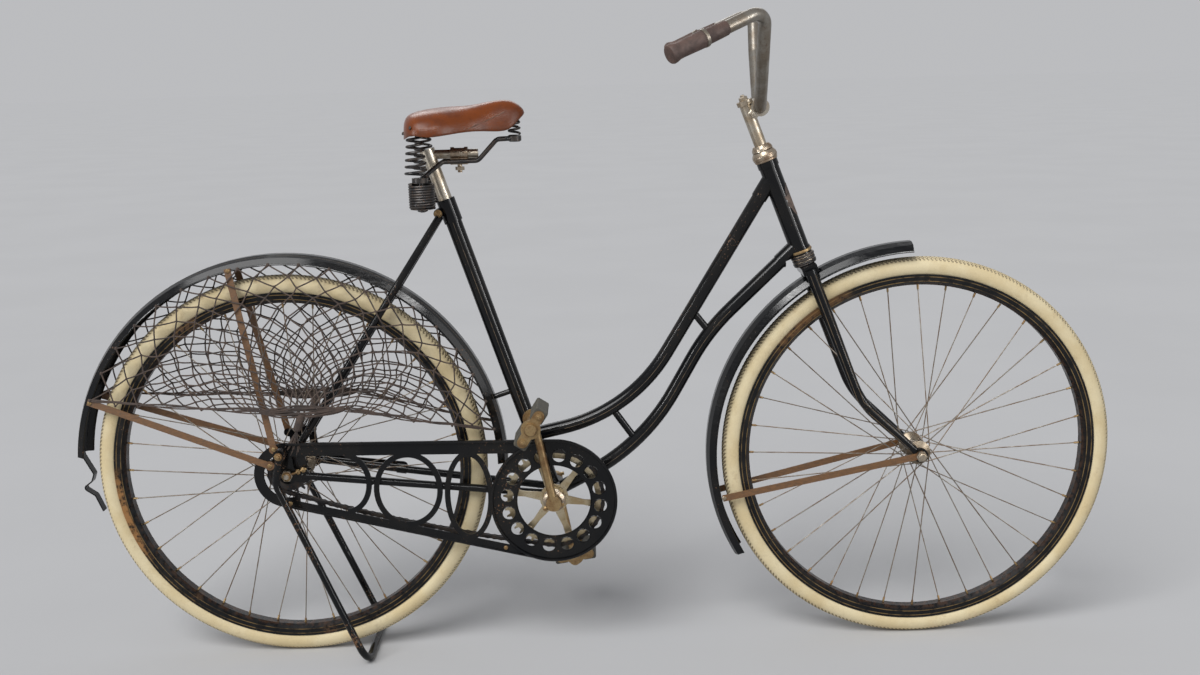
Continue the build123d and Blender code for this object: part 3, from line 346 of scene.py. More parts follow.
def leather():
    """Orange-brown saddle leather with grain, scuffs, and lower edges darkened by painted shade mixed with wear."""
    f = Finish("saddle_leather", shine=0.28)
    cloud = f.noise(22.0, 5.0, 0.6)
    scuff = f.step(f.noise(110.0, 6.0, 0.7), 0.56, 0.72)
    colour = f.blend(f.step(cloud, 0.35, 0.68), (0.220, 0.050, 0.007, 1), (0.135, 0.029, 0.005, 1))
    colour = f.tint(colour, scuff, 0.5, (0.065, 0.019, 0.008, 1))
    # Painted shade, partly wear: below about 0.968 m the leather goes a darker, greyer brown in patches.
    height = f.add("ShaderNodeSeparateXYZ", {0: f.place}).outputs[2]
    low = f.times(f.step(height, 0.968, 0.945), f.step(f.noise(70.0, 6.0, 0.7), 0.35, 0.6))
    colour = f.tint(colour, low, 0.7, (0.10, 0.052, 0.036, 1))
    rough = f.step(cloud, 0.3, 0.7, 0.22, 0.36)
    return f.finish(colour, rough, f.step(f.cells(620.0), 0.0, 0.12), 0.12, 0.0003)


def dull_cover(name, pale, deep):
    """Dull, finely pitted surface in two tones: grip coverings, worn lines, the bare patch and creases."""
    return mottled(name, (60.0, 6.0, 0.65), (0.35, 0.68), (pale, deep), (0.55, 0.75), (0.4, 0.0004),
                   fine=(700.0, 4.0, 0.6))


def cord_fibre():
    """Brown twisted cord, with painted highlights along the twist."""
    f = Finish("brown_cord")
    patchy = f.noise(45.0, 5.0, 0.6)
    twist_and_glint = f.noise(1500.0, 3.0, 0.6)
    colour = f.blend(f.step(patchy, 0.35, 0.65), (0.088, 0.058, 0.044, 1), (0.044, 0.032, 0.027, 1))
    # Painted highlight: lighter flecks along the twist stand in for light catching the strands.
    colour = f.blend(f.step(twist_and_glint, 0.5, 0.75, 0.0, 0.5), colour, (0.14, 0.10, 0.075, 1))
    return f.finish(colour, f.step(twist_and_glint, 0.3, 0.7, 0.75, 0.95), twist_and_glint, 0.5, 0.0003)


def placed(name, data):
    """New object in the scene."""
    made = bpy.data.objects.new(name, data)
    bpy.context.scene.collection.objects.link(made)
    return made


class Shape:
    """Points and faces gathered from simple forms, in millimetres."""

    def __init__(self):
        self.points = []
        self.faces = []

    def loft(self, rows, loop=False):
        """Closed rows of points joined by quads; the end rows are capped, or with loop joined to each other."""
        base = len(self.points)
        wide, tall = len(rows[0]), len(rows)
        for row in rows:
            self.points.extend(row)
        for i in range(tall if loop else tall - 1):
            for j in range(wide):
                near = base + i * wide
                far = base + (i + 1) % tall * wide
                self.faces.append((near + j, near + (j + 1) % wide, far + (j + 1) % wide, far + j))
        if not loop:
            self.faces.append(tuple(range(base, base + wide)))
            self.faces.append(tuple(range(base + (tall - 1) * wide, base + tall * wide)))

    def tube(self, path, r, sides, loop=False):
        """Round bar along a path."""
        path = [Vector(p) for p in path]
        last = len(path) - 1
        rings = []
        out = None
        for k, p in enumerate(path):
            ahead = path[(k + 1) % len(path)] - path[k - 1] if loop else path[min(k + 1, last)] - path[max(k - 1, 0)]
            ahead.normalize()
            out = ahead.orthogonal() if out is None else out
            out = (out - ahead * out.dot(ahead)).normalized()
            over = ahead.cross(out)
            rings.append([p + (out * cos(a) + over * sin(a)) * r for a in turns(sides)])
        self.loft(rings, loop)

    def turn(self, at, axis, profile, sides):
        """Turned form from (radius, distance along the axis) steps."""
        at = Vector(at)
        axis = Vector(axis).normalized()
        out = axis.orthogonal().normalized()
        over = axis.cross(out)
        self.loft([[at + axis * s + (out * cos(a) + over * sin(a)) * r for a in turns(sides)] for r, s in profile])

    def ball(self, at, r):
        self.turn(at, (0, 0, 1), [(r * cos(a), r * sin(a)) for a in (-1.3, -0.65, 0.0, 0.65, 1.3)], 6)

    def nut(self, at, axis, r, tall, stud=True):
        """Hexagon nut with a chamfered face, a washer and a stud end."""
        self.turn(at, axis, [(r * 1.12, 0), (r * 1.12, 1.0)], 20)
        self.turn(at, axis, [(r, 1.0), (r, tall * 0.82), (r * 0.84, tall)], 6)
        if stud:
            self.turn(at, axis, [(r * 0.5, tall), (r * 0.5, tall + r * 0.3), (r * 0.36, tall + r * 0.45)], 12)

    def screw(self, at, axis, r, tall):
        """Round-headed screw."""
        self.turn(at, axis, [(r, 0), (r, tall * 0.4), (r * 0.75, tall * 0.85), (r * 0.3, tall)], 14)

    def slab(self, outline, at, u, v, thick):
        """Plate from a closed outline in the plane of u and v."""
        at, u, v = Vector(at), Vector(u), Vector(v)
        side = u.cross(v).normalized() * (thick / 2)
        self.loft([[at + u * a + v * b + side * s for a, b in outline] for s in SIDES])

    def piece(self, name, body, finish, smooth=35.0, stands_for=None):
        """Make the Blender piece, let it ride a body, and hide the CAD node that it stands for."""
        mesh = bpy.data.meshes.new(name)
        mesh.from_pydata([Vector(p) * MM + SHIFT for p in self.points], [], self.faces)
        work = bmesh.new()
        work.from_mesh(mesh)
        bmesh.ops.recalc_face_normals(work, faces=work.faces)
        work.to_mesh(mesh)
        work.free()
        mesh.polygons.foreach_set("use_smooth", [True] * len(mesh.polygons))
        mesh.set_sharp_from_angle(angle=radians(smooth))
        mesh.materials.append(FINISH[finish])
        made = placed(name, mesh)
        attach(made, body)
        if stands_for:
            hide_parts(stands_for)
        return made


def turns(count):
    """Angles round a full turn."""
    return [2 * pi * k / count for k in range(count)]


def polar(x, z, r, a, y=0.0):
    """Place at radius r and angle a about x, z in the side view."""
    return Vector((x + r * cos(a), y, z + r * sin(a)))


def arc(x, z, r, a0, a1, y, count):
    """Points on a side-view arc about x, z, angles in degrees."""
    return [polar(x, z, r, radians(a0 + (a1 - a0) * k / (count - 1)), y) for k in range(count)]


def rounded(points, bend, steps):
    """Polyline with its corners rounded."""
    points = [Vector(p) for p in points]
    path = [points[0]]
    for p, q, s in zip(points, points[1:], points[2:]):
        d1 = (q - p).normalized()
        d2 = (s - q).normalized()
        half = d1.angle(d2) / 2
        back = bend * tan(half)
        middle_way = (d2 - d1).normalized()
        hub = q + middle_way * (bend / cos(half))
        start = q - d1 * back - hub
        axis = d1.cross(d2)
        for k in range(steps + 1):
            path.append(hub + Matrix.Rotation(2 * half * k / steps, 3, axis) @ start)
    return path + [points[-1]]


def tyre(wheel, x):
    """Round tyre with slanting grooves across its shoulders, the groove faces a darker brown."""
    around, lanes = 1200, 30
    mid = TYRE_R - TYRE_HALF
    lean = [radians(-128 + 256 * k / lanes) for k in range(lanes + 1)]
    shape = Shape()
    rows = []
    grooved = []
    for k, a in enumerate(turns(around)):
        row = []
        for b in lean:
            shoulder = 0.12 < abs(b) < 0.85
            groove = shoulder and (k * TREAD_RIBS / around + abs(b) * TREAD_SLANT) % 1.0 < GROOVE_SHARE
            r = TYRE_HALF - (TREAD_DEPTH if groove else 0.0)
            grooved.append(groove)
            row.append(polar(x, TYRE_R, mid + r * cos(b), a, r * sin(b)))
        for y in (BEAD_HALF, -BEAD_HALF):
            row.append(polar(x, TYRE_R, SEAT_R + 1, a, y))
            grooved.append(False)
        rows.append(row)
    shape.loft(rows, True)
    made = shape.piece(f"{wheel}_cream_tyre", f"{wheel}_wheel", f"{wheel}_tyre", 60.0, f"{wheel}_tyre")
    # The groove faces take the darker brown finish.
    made.data.materials.append(FINISH["groove_tone"])
    made.data.polygons.foreach_set("material_index", [int(mark) for mark in grooved])


def spokes(wheel, x):
    """Crossed wire spokes with bent heads, and a nipple at the rim for each."""
    wires = Shape()
    nipples = Shape()
    flange_r, flange_y = FLANGES[wheel]
    hub_r = flange_r + 1.3
    rim_r = SEAT_R - 13.5
    step = 4 * pi / SPOKE_COUNT
    for hand in SIDES:
        for k in range(SPOKE_COUNT // 2):
            lead = 1 if k % 2 else -1
            a = k * step + (step / 2 if hand < 0 else 0)
            p = polar(x, TYRE_R, hub_r, a, hand * (flange_y + lead * 1.5))
            q = polar(x, TYRE_R, rim_r, a + lead * 3 * step, hand * 3.0)
            head = polar(x, TYRE_R, hub_r - 4.5, a, p.y + lead * hand * 2.6)
            ahead = (q - p).normalized()
            wires.tube([head, p, q], SPOKE_R, 6)
            nipples.turn(q - ahead * NIPPLE_LEN, ahead, [(1.5, 0), (2.0, 1.5), (2.0, NIPPLE_LEN)], 8)
    wires.piece(f"{wheel}_wire_spokes", f"{wheel}_wheel", "wire", stands_for=f"{wheel}_spokes")
    nipples.piece(f"{wheel}_nipples", f"{wheel}_wheel", "brass")


def net_edge(u, hand):
    """Place on the fender's lower edge, u from 0 at the front to 1 at the back."""
    a = radians(NET_A0 + (NET_A1 - NET_A0) * u)
    return polar(0.0, TYRE_R, REAR_FENDER_R - FENDER_DROP + 0.5, a, hand * (FENDER_HALF + 1.2))


def net_gather(u, hand):
    """Place in the gathered band over the axle."""
    off = 0.5 - u
    return Vector((NET_APEX.x + NET_SPREAD * off, hand * (NET_APEX.y - 8 * off * off), NET_APEX.z - 4 + 8 * off * off))


def lifted(p):
    """Push a net point out over the stays it crosses."""
    hand = 1 if p.y > 0 else -1
    y = abs(p.y)
    for a, b, r in NET_STAYS:
        d = Vector((b.x - a.x, 0, b.z - a.z))
        off = Vector((p.x - a.x, 0, p.z - a.z))
        t = min(1.0, max(0.0, off.dot(d) / d.dot(d)))
        gap = (off - d * t).length
        wide = r if r > 3 else 7.0
        y = max(y, a.y + (b.y - a.y) * t + r + STRING_R + 1.0 - 0.42 * max(0.0, gap - wide))
    return Vector((p.x, hand * y, p.z))


def net_point(u, v, hand):
    """Point of the net, v from 0 at the fender to 1 at the gather."""
    p = net_edge(u, hand).lerp(net_gather(u, hand), v)
    p.z -= 9 * v * (1 - v) * abs(2 * u - 1)
    return lifted(p)


def net_levels():
    """Share of the way in for each row of knots, closer together towards the gather."""
    steps = [0.965 ** k for k in range(NET_ROWS)]
    levels = [0.0]
    for s in steps:
        levels.append(levels[-1] + s / sum(steps))
    return levels


def net_rows():
    """Knots as shares (u, v) of the net, a row for each level, drawn a little out of true below the fender."""
    rows = []
    for j, v in enumerate(net_levels()):
        odd = j % 2
        slack = NET_LOOSE if j else 0.0
        row = []
        for i in range(NET_COLUMNS + 1 - odd):
            aside = (random.random() - 0.5) * slack
            down = (random.random() - 0.5) * slack
            row.append(((i + 0.5 * odd) / NET_COLUMNS + aside, v + down))
        rows.append(row)
    return rows


def net_cord(start, end, hand):
    """Slack run of cord between two knots."""
    path = []
    for k in range(5):
        t = k / 4
        p = net_point(start[0] + (end[0] - start[0]) * t, start[1] + (end[1] - start[1]) * t, hand)
        path.append(p - Vector((0, 0, 6 * t * (1 - t) * (1 - start[1]))))
    return path


def net_side(hand, cords, knots):
    """One side's diamond mesh: two families of cords crossing at knots."""
    rows = net_rows()
    for j, (row, below) in enumerate(zip(rows, rows[1:])):
        odd = j % 2
        for i, knot in enumerate(row):
            for k in (i - 1 + odd, i + odd):
                if 0 <= k < len(below):
                    cords.tube(net_cord(knot, below[k], hand), STRING_R, 5)
            if j < NET_ROWS - 4:
                knots.ball(net_point(*knot, hand), 2.4 if j else 3.2)


def skirt_nets():
    """Both skirt nets, with a gathered band along the lower edge and loose cords down both ends."""
    cords = Shape()
    knots = Shape()
    strands = 16
    for hand in SIDES:
        net_side(hand, cords, knots)
        for k in range(strands):
            wave = random.random() * 6
            path = []
            for step in range(25):
                u = step / 24
                thick = 18 * (1 - (2 * u - 1) ** 2) + 2
                out = hand * (1.0 + 1.6 * sin(wave + 5 * u))
                up = thick * (k / (strands - 1) - 0.5) + 1.5 * sin(wave + 9 * u)
                path.append(net_gather(u, hand) + Vector((0, out, up)))
            cords.tube(path, STRING_R * 1.1, 5)
        for u in (0.0, 1.0):
            for k in range(4):
                wave = random.random() * 6
                path = []
                for step in range(17):
                    v = step / 16
                    path.append(net_point(u, v, hand) + Vector((0, 0, (2 - k) * 2.2 * v + 1.8 * sin(wave + 14 * v))))
                cords.tube(path, STRING_R * 0.9, 5)
    cords.piece("net_cords", "frame", "cord", stands_for="skirt_nets")
    knots.piece("net_knots", "frame", "cord")


def net_tassel():
    """Bound bundle under the gather, with cords fanning down to the rear end."""
    shape = Shape()
    for hand in SIDES:
        top = Vector((NET_APEX.x, hand * NET_APEX.y, NET_APEX.z - 8))
        low = Vector((24, hand * 66, 440))
        for k in range(22):
            at = top.lerp(low, 0.1 + 0.8 * (k / 21))
            ring = [at + Vector((7.0 * cos(a), 5.0 * sin(a), 0.9 * sin(a))) for a in turns(12)]
            shape.tube(ring, 1.0, 5, True)
        shape.tube([top, low], 6.0, 10)
        for k in range(11):
            end = Vector((-10 + 3.6 * k, hand * 60.6, 397 + 6 * sin(k * 2.1)))
            mid = low.lerp(end, 0.5) + Vector((3 * sin(k * 1.7), 0, -3))
            shape.tube([low, mid, end], 0.8, 5)
    shape.piece("net_tassels", "frame", "cord", stands_for="net_ties")


def tangents(r0, r1):
    """Normals of the upper and lower common tangents of circles about the rear axle and the bracket."""
    lean = atan2(BB.z - TYRE_R, BB.x)
    spread = acos((r0 - r1) / hypot(BB.x, BB.z - TYRE_R))
    return lean + spread, lean - spread


def tangent_ends(a, r0, r1, y=0.0):
    """Ends of the common tangent whose normal points along a."""
    return polar(0.0, TYRE_R, r0, a, y), polar(BB.x, BB.z, r1, a, y)


def link_outline(long):
    """Outline of a chain plate: two round ends with a waist."""
    ends = []
    for side in (1, -1):
        for k in range(5):
            a = radians(-70 + 35 * k) + (0 if side > 0 else pi)
            ends.append((side * long / 2 + PLATE_R * cos(a), PLATE_R * sin(a)))
        ends.append((0, side * PLATE_WAIST))
    return ends


def chain_pins():
    """Pin places round the chain loop: top run, chain wheel, sagging low run, cog."""
    up, down = tangents(COG_R, RING_R)
    top = tangent_ends(up, COG_R, RING_R)
    low = tangent_ends(down, COG_R, RING_R)
    straight = (top[1] - top[0]).length
    ring_arc = RING_R * (up - down)
    total = 2 * straight + ring_arc + COG_R * (2 * pi - up + down)
    count = 2 * round(total / PITCH / 2)
    pins = []
    for k in range(count):
        s = k * total / count
        share = (s - straight - ring_arc) / straight
        if s < straight:
            pins.append(top[0].lerp(top[1], s / straight))
        elif share < 0:
            pins.append(polar(BB.x, BB.z, RING_R, up - (s - straight) / RING_R))
        elif share < 1:
            pins.append(low[1].lerp(low[0], share) - Vector((0, 0, 4 * CHAIN_SAG * share * (1 - share))))
        else:
            pins.append(polar(0.0, TYRE_R, COG_R, down - (share - 1) * straight / COG_R))
    return pins


def chain():
    """Roller chain of waisted plates, rollers and riveted pins."""
    plates = Shape()
    pins = chain_pins()
    for k, p in enumerate(pins):
        q = pins[(k + 1) % len(pins)]
        along = (q - p).normalized()
        up = along.cross(Vector((0, 1, 0)))
        for hand in SIDES:
            at = (p + q) / 2 + Vector((0, CHAIN_Y + hand * PLATE_OFF[k % 2], 0))
            plates.slab(link_outline((q - p).length), at, along, up, PLATE_THICK)
        for r, long, sides in ((PIN_R, PIN_LEN, 8), (ROLLER_R, ROLLER_LEN, 10)):
            plates.turn(p + Vector((0, CHAIN_Y - long / 2, 0)), (0, 1, 0), [(r, 0), (r, long)], sides)
    plates.piece("chain_links", "frame", "dark", stands_for="chain")


SADDLE_ROWS = (
    # x, half width, crown z, edge z, fullness
    (238, 32, 971, 945, 2.0),
    (240, 60, 979, 944, 2.4),
    (246, 79, 986, 947, 2.6),
    (256, 91, 990, 953, 2.6),
    (270, 96, 993, 951, 2.6),
    (285, 97, 995, 948, 2.6),
    (306, 93, 997, 950, 2.5),
    (328, 78, 997.5, 953, 2.3),
    (350, 59, 998, 955, 2.2),
    (372, 44, 1002, 955, 2.1),
    (394, 35, 1006, 953, 2.1),
    (412, 30, 1007, 953, 2.1),
    (425, 26, 1005, 958, 2.1),
    (437, 17, 998, 973, 2.0),
    (446, 7, 987, 981, 2.0),
)


def saddle_section(x, half, crown, edge, full, inset):
    """Across-saddle points of the leather at x, drawn in by inset for the under side."""
    row = []
    for k in range(33):
        t = -1 + k / 16
        lean = abs(t) ** 0.8
        y = (half - inset) * (1 if t > 0 else -1) * sin(lean * pi / 2) ** 0.9
        z = crown - inset - (crown - inset - edge) * lean ** full
        row.append(Vector((x, y, z)))
    return row


def saddle():
    """Moulded leather top with thickness, rivets and a crease down each side."""
    shape = Shape()
    outer = [saddle_section(*row, 0.0) for row in SADDLE_ROWS]
    inner = [saddle_section(*row, LEATHER)[::-1] for row in SADDLE_ROWS]
    shape.loft([a + b for a, b in zip(outer, inner)])
    made = shape.piece("saddle_leather", "frame", "leather", 70.0, "saddle_top")
    soften = made.modifiers.new("soft", "SUBSURF")
    soften.levels = soften.render_levels = 1
    rivets = Shape()
    creases = Shape()
    for hand in SIDES:
        for row in (1, 3):
            rivets.screw(outer[row][3 if hand < 0 else -4], (-0.6, hand * 0.6, 0.3), 3.0, 1.2)
        fold = [outer[8 + k][1 + 2 * k if hand < 0 else -2 - 2 * k] for k in range(4)]
        creases.tube(fold, 0.9, 6)
    rivets.piece("saddle_rivets", "frame", "dark")
    creases.piece("saddle_creases", "frame", "crease")


def coil(shape, x, y, r0, r1, z0, z1, count, wire=SPRING_WIRE):
    """Spring wire as a rising helix."""
    steps = int(count * 22)
    path = []
    for k in range(steps + 1):
        t = k / steps
        r = r0 + (r1 - r0) * t
        a = 2 * pi * count * t
        path.append(Vector((x + r * cos(a), y + r * sin(a), z0 + (z1 - z0) * t)))
    shape.tube(path, wire, 7)


def saddle_springs():
    """Open conical coils, tight-wound lower springs and the nose coil."""
    shape = Shape()
    up = (0, 0, 1)
    low_x = SPRING_EYE.x + 2
    for hand in SIDES:
        y = hand * SPRING_Y
        coil(shape, SPRING_EYE.x - 6, y, 18.7, 9.5, SPRING_EYE.z + 6.3, 978, 8.5)
        coil(shape, low_x, y, 20.8, 20.8, 827, 869, 9.6, 2.25)
        shape.turn((low_x, y, 820), up, [(4.0, 0), (9.0, 2), (9.0, 6), (5.5, 7), (5.5, 54)], 16)
        shape.turn((low_x, y, 825), up, [(18, 0), (21, 0.5), (21, 2), (18, 2.5)], 24)
    coil(shape, NOSE_BASE.x, 0.0, 9.5, 8.5, NOSE_BASE.z + 8, 992, 4.5)
    shape.turn((NOSE_BASE.x, 0, NOSE_BASE.z - 6), up, [(9, 0), (12, 2), (12, 10), (9, 12)], 22)
    shape.piece("coil_springs", "frame", "dark", stands_for="saddle_springs")


def skewed(p):
    """A place on the bar after its slight turn about the steering axis."""
    return HEAD_FOOT + Matrix.Rotation(BAR_SKEW, 3, HEAD_DIR) @ (Vector(p) - HEAD_FOOT)


def grips():
    """Turned grip, ferrule ring and thin covering on each end of the bar."""
    ends = Shape()
    rings = Shape()
    covers = Shape()
    for hand in SIDES:
        tip = skewed(BAR_CLAMP + Vector((-151.7, hand * 250, 98.4)))
        back = (skewed(BAR_CLAMP + Vector((0.2, hand * 160, 164.4))) - tip).normalized()
        tip = tip - back * 6
        ends.turn(tip, back, [(11, 0), (14.6, 1.0), (16.0, 4), (15.6, 9), (13.7, 16), (13.4, 24), (13.9, 44),
                              (14.4, 64), (14.2, 66.5)], 28)
        rings.turn(tip + back * 66, back, [(12, 0), (15.0, 0.6), (15.4, 3.5), (15.0, 6.6), (12, 7.4)], 28)
        covers.turn(tip + back * 73, back, [(13.2, 0), (13.0, 1.5), (12.7, 20), (12.4, 39), (11.6, 41)], 28)
    ends.piece("turned_grips", "fork", "grip", stands_for="grips")
    rings.piece("grip_ferrules", "fork", "bar")
    covers.piece("grip_covers", "fork", "cover")


def pedal_rubbers(side, hand):
    """Two grooved rubber blocks, tilted as the pedal hangs, and their rod ends."""
    lo, hi = span(f"{side}_pedal_blocks")
    mid = centre(f"{side}_pedal_blocks")
    along = Vector((cos(PEDAL_TILT[side]), 0, sin(PEDAL_TILT[side])))
    over = Vector((-along.z, 0, along.x))
    blocks = Shape()
    ends = Shape()
    wide, tall, lip = 25.0, 24.0, 1.4
    pitch = (hi.y - lo.y) / 11
    for off in SIDES:
        at = mid + along * off * PEDAL_REACH
        rows = []
        for k in range(12):
            for share, cut in ((0.0, lip), (0.18, 0.0), (0.72, 0.0), (0.9, lip)):
                y = lo.y + pitch * (k + share)
                if y > hi.y:
                    continue
                w, h = wide / 2 - cut, tall / 2 - cut
                top = [(w, h * 0.8), (w * 0.8, h), (-w * 0.8, h), (-w, h * 0.8)]
                corners = top + [(-a, -b) for a, b in top]
                rows.append([Vector((at.x, y, at.z)) + along * a + over * b for a, b in corners])
        blocks.loft(rows)
        ends.nut((at.x, hand * PEDAL_END, at.z), (0, hand, 0), 6.0, 5.0)
    body = f"{side}_pedal"
    blocks.piece(f"{side}_grooved_blocks", body, "rubber", 25.0, f"{side}_pedal_blocks")
    ends.piece(f"{side}_pedal_nuts", body, "brass")


def fender_trim():
    """Rolled wire edges and painted lines of both fenders."""
    for name, body, x, r, a0, a1 in (("rear", "frame", 0.0, REAR_FENDER_R, 0, 175),
                                     ("front", "fork", WHEELBASE, FRONT_FENDER_R, 92, 210)):
        edges = Shape()
        lines = Shape()
        for hand in SIDES:
            edges.tube(arc(x, TYRE_R, r - FENDER_DROP, a0, a1, hand * (FENDER_HALF - 0.4), 90), 1.7, 8)
            lines.tube(arc(x, TYRE_R, r - 2.6, a0 + 1, a1 - 1, hand * 14.5, 90), 0.5, 5)
        edges.piece(f"{name}_fender_edges", body, "enamel")
        lines.piece(f"{name}_fender_lines", body, "gold")


def guard_trim():
    """Rolled edges of the chain guard and its screws."""
    y = span("chain_guard")[0].y
    face = y + 2.5
    up, down = tangents(GUARD_REAR_R, GUARD_DISC_R)
    beads = Shape()
    beads.tube(tangent_ends(up, GUARD_REAR_R - 2.6, GUARD_DISC_R - 2.6, y + 0.4), 2.4, 10)
    beads.tube(tangent_ends(down, GUARD_REAR_R - 2.4, GUARD_DISC_R - 2.4, face), 2.0, 10)
    beads.tube(arc(BB.x, BB.z, GUARD_DISC_R - 2.6, 0, 354, y + 0.4, 72), 2.5, 10, True)
    beads.tube(arc(BB.x, BB.z, RING_R - 22.0, 0, 353, face, 60), 1.2, 6, True)
    for k in range(16):
        hole = polar(BB.x, BB.z, RING_R - 4.5, radians(82 + 22.5 * k))
        beads.tube(arc(hole.x, hole.z, 12.3, 0, 342, face, 20), 0.8, 5, True)
    beads.piece("guard_beads", "frame", "enamel")
    screws = Shape()
    start, end = tangent_ends(down, GUARD_REAR_R - 9, GUARD_DISC_R - 9, face)
    for share in (0.03, 0.86):
        screws.screw(start.lerp(end, share), (0, -1, 0), *GUARD_SCREW)
    screws.piece("guard_screws", "frame", "brass")


def spring_clip():
    """Bent spring strip below the rear fender that holds the stand when it is up."""
    corners = ((-387.5, 404), (-383, 386), (-366, 352), (-371, 338), (-388, 326), (-367, 311), (-355, 281))
    path = rounded([Vector((x, 0, z)) for x, z in corners], 5.0, 6)
    shape = Shape()
    rows = []
    flat = Vector((0, 8, 0))
    for k, p in enumerate(path):
        ahead = (path[min(k + 1, len(path) - 1)] - path[max(k - 1, 0)]).normalized()
        side = Vector((-ahead.z, 0, ahead.x)) * 1.2
        rows.append([p + side + flat, p - side + flat, p - side - flat, p + side - flat])
    shape.loft(rows)
    shape.piece("spring_clip", "frame", "enamel", stands_for="stand_clip")


def frame_nuts():
    """Seat stay, axle and stand nuts, and the screws of the rear fender stays."""
    shape = Shape()
    for hand in SIDES:
        out = (0, hand, 0)
        shape.nut((288, hand * 15, 812), out, 6.5, 5.0)
        shape.nut((0, hand * 69, TYRE_R), out, 7.5, 4.0, False)
        shape.nut((-5.5, hand * 98, 400), out, 6.5, 4.5)
        for x, y, z in ((-30, 63.5, 374), (-21, 63.5, 404), (-352, 30.6, 491), (-86, 30.6, 723)):
            shape.screw((x, hand * y, z), out, *STAY_SCREW)
    shape.piece("frame_nuts", "frame", "brass")


def chain_adjusters():
    """Threaded draw bolts that run forward and up from the rear axle."""
    shape = Shape()
    along = Vector((cos(radians(20)), 0, sin(radians(20))))
    for hand in SIDES:
        start = Vector((0, hand * 66.0, TYRE_R))
        shape.turn(start - Vector((0, hand * 3.5, 0)), (0, hand, 0), [(8.5, 0), (8.5, 4.5), (7.5, 5.5)], 20)
        shape.tube([start + along * 6, start + along * 38], 2.2, 8)
        for k in range(14):
            shape.turn(start + along * (14 + 1.7 * k), along, [(2.2, 0), (2.6, 0.5), (2.2, 1.0)], 8)
        for s in (20, 30):
            shape.nut(start + along * s, along, 5.0, 5.0, False)
    shape.piece("chain_adjusters", "frame", "brass")


def fork_nuts():
    """Axle nuts, fender stay screws, the stem's expander bolt and the bar's binder."""
    shape = Shape()
    for hand in SIDES:
        shape.nut((WHEELBASE, hand * 62, TYRE_R), (0, hand, 0), 7.0, 4.0, False)
        shape.screw((786, hand * 30.6, 278), (0, hand, 0), *STAY_SCREW)
    shape.nut(HEAD_FOOT + HEAD_DIR * (HEAD_LEN + 112), HEAD_DIR, 8.0, 7.0)
    shape.nut(BAR_CLAMP + Vector((-10, -20, -13)), (0, -1, 0), 6.0, 4.0)
    shape.piece("fork_nuts", "fork", "nickel")


def head_rings():
    """Turned rings of the head bearings and the fork crown, each at a distance up the head with its radius."""
    broad, thin = (2.5, 0.6, 3.0, 2.2), (2.0, 0.4, 1.5, 1.1)
    for name, body, finish, slot, (lip, ease, half, shoulder), rings in (
            ("upper_head_rings", "frame", "head", "nickel", broad, ((HEAD_LEN + 2, 21.0), (HEAD_LEN + 8.5, 22.8))),
            ("lower_head_ring", "frame", "brass", "brass", broad, ((6.0, 20.6),)),
            ("lower_race_rings", "frame", "dark", "dark_steel", broad, ((-3.0, 21.8), (-9.0, 21.2))),
            ("crown_rings", "fork", "dark", "dark_steel", thin, ((-14.4, 21.6), (-17.6, 21.0)))):
        shape = Shape()
        for s, r in rings:
            profile = [(r - lip, -half), (r - ease, -shoulder), (r, 0), (r - ease, shoulder), (r - lip, half)]
            shape.turn(HEAD_FOOT + HEAD_DIR * s, HEAD_DIR, profile, 36)
        shape.piece(name, body, finish)


def head_patch():
    """Bare worn metal on the front of the head tube where a plate used to be."""
    shape = Shape()
    front = Vector((HEAD_DIR.z, 0, -HEAD_DIR.x))
    rows = []
    for i in range(9):
        at = HEAD_FOOT + HEAD_DIR * (70 + 7.5 * i)
        wide = 1.2 * (1 - (abs(i - 4) / 4) ** 2 * 0.6) + 0.12 * sin(2.7 * i)
        turned = [wide * (k - 4) / 4 for k in range(9)]
        outs = [front * cos(a) + Vector((0, 1, 0)) * sin(a) for a in turned]
        over = [at + out * (HEAD_R + 0.35) for out in outs]
        rows.append(over + [at + out * (HEAD_R - 0.25) for out in outs[::-1]])
    shape.loft(rows)
    shape.piece("bare_head_patch", "frame", "patch")


def crank_cotters():
    """Cotter pins, chain wheel bolts and the crank's turned boss."""
    shape = Shape()
    along = Vector((cos(CRANK_TURN), 0, sin(CRANK_TURN)))
    over = Vector((-along.z, 0, along.x))
    for hand in SIDES:
        at = Vector((BB.x, hand * CRANK_Y, BB.z)) + along * hand * 7
        shape.tube([at - over * 18, at + over * 18], 3.2, 10)
        shape.nut(at + over * 15, over, 5.0, 4.5)
    shape.piece("crank_cotters", "crank_set", "brass")
    boss = Shape()
    boss.turn((BB.x, -54, BB.z), (0, -1, 0), [(19, 0), (21, 2), (20, 8), (15, 11.5)], 32)
    for k in range(6):
        boss.screw(polar(BB.x, BB.z, BOLT_R, radians(110 + 60 * k), CHAIN_Y - 1.5), (0, -1, 0), *GUARD_SCREW)
    boss.piece("chain_wheel_boss", "crank_set", "head")


def skin(node, p, hand):
    """Place on a CAD node's outer side, straight across from p."""
    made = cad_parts[node]
    home = made.matrix_world.inverted()
    start = Vector((AXLE.x + p.x * MM, hand * 0.3, p.z * MM))
    hit, at, _, _ = made.ray_cast(home @ start, home.to_3x3() @ Vector((0, -hand, 0)))
    return (made.matrix_world @ at - SHIFT) / MM if hit else None


def fork_lines():
    """Worn gold lines along both edges of the fork blades."""
    shape = Shape()
    crown = HEAD_FOOT - HEAD_DIR * 34
    tip = Vector((WHEELBASE, 0, TYRE_R))
    knee = tip + Vector((-108.4, 0, 100.0))
    path = []
    for p, q in zip((crown, knee), (knee, tip)):
        path += [p.lerp(q, k / 30) for k in range(30)]
    for hand in SIDES:
        for edge in SIDES:
            run = []
            for k, p in enumerate(path[:-4]):
                ahead = (path[k + 1] - p).normalized()
                run.append(skin("fork_blades", p + Vector((-ahead.z, 0, ahead.x)) * (4.5 * edge), hand))
            shape.tube([at for at in run if at], 0.7, 5)
    shape.piece("fork_lines", "fork", "gold")


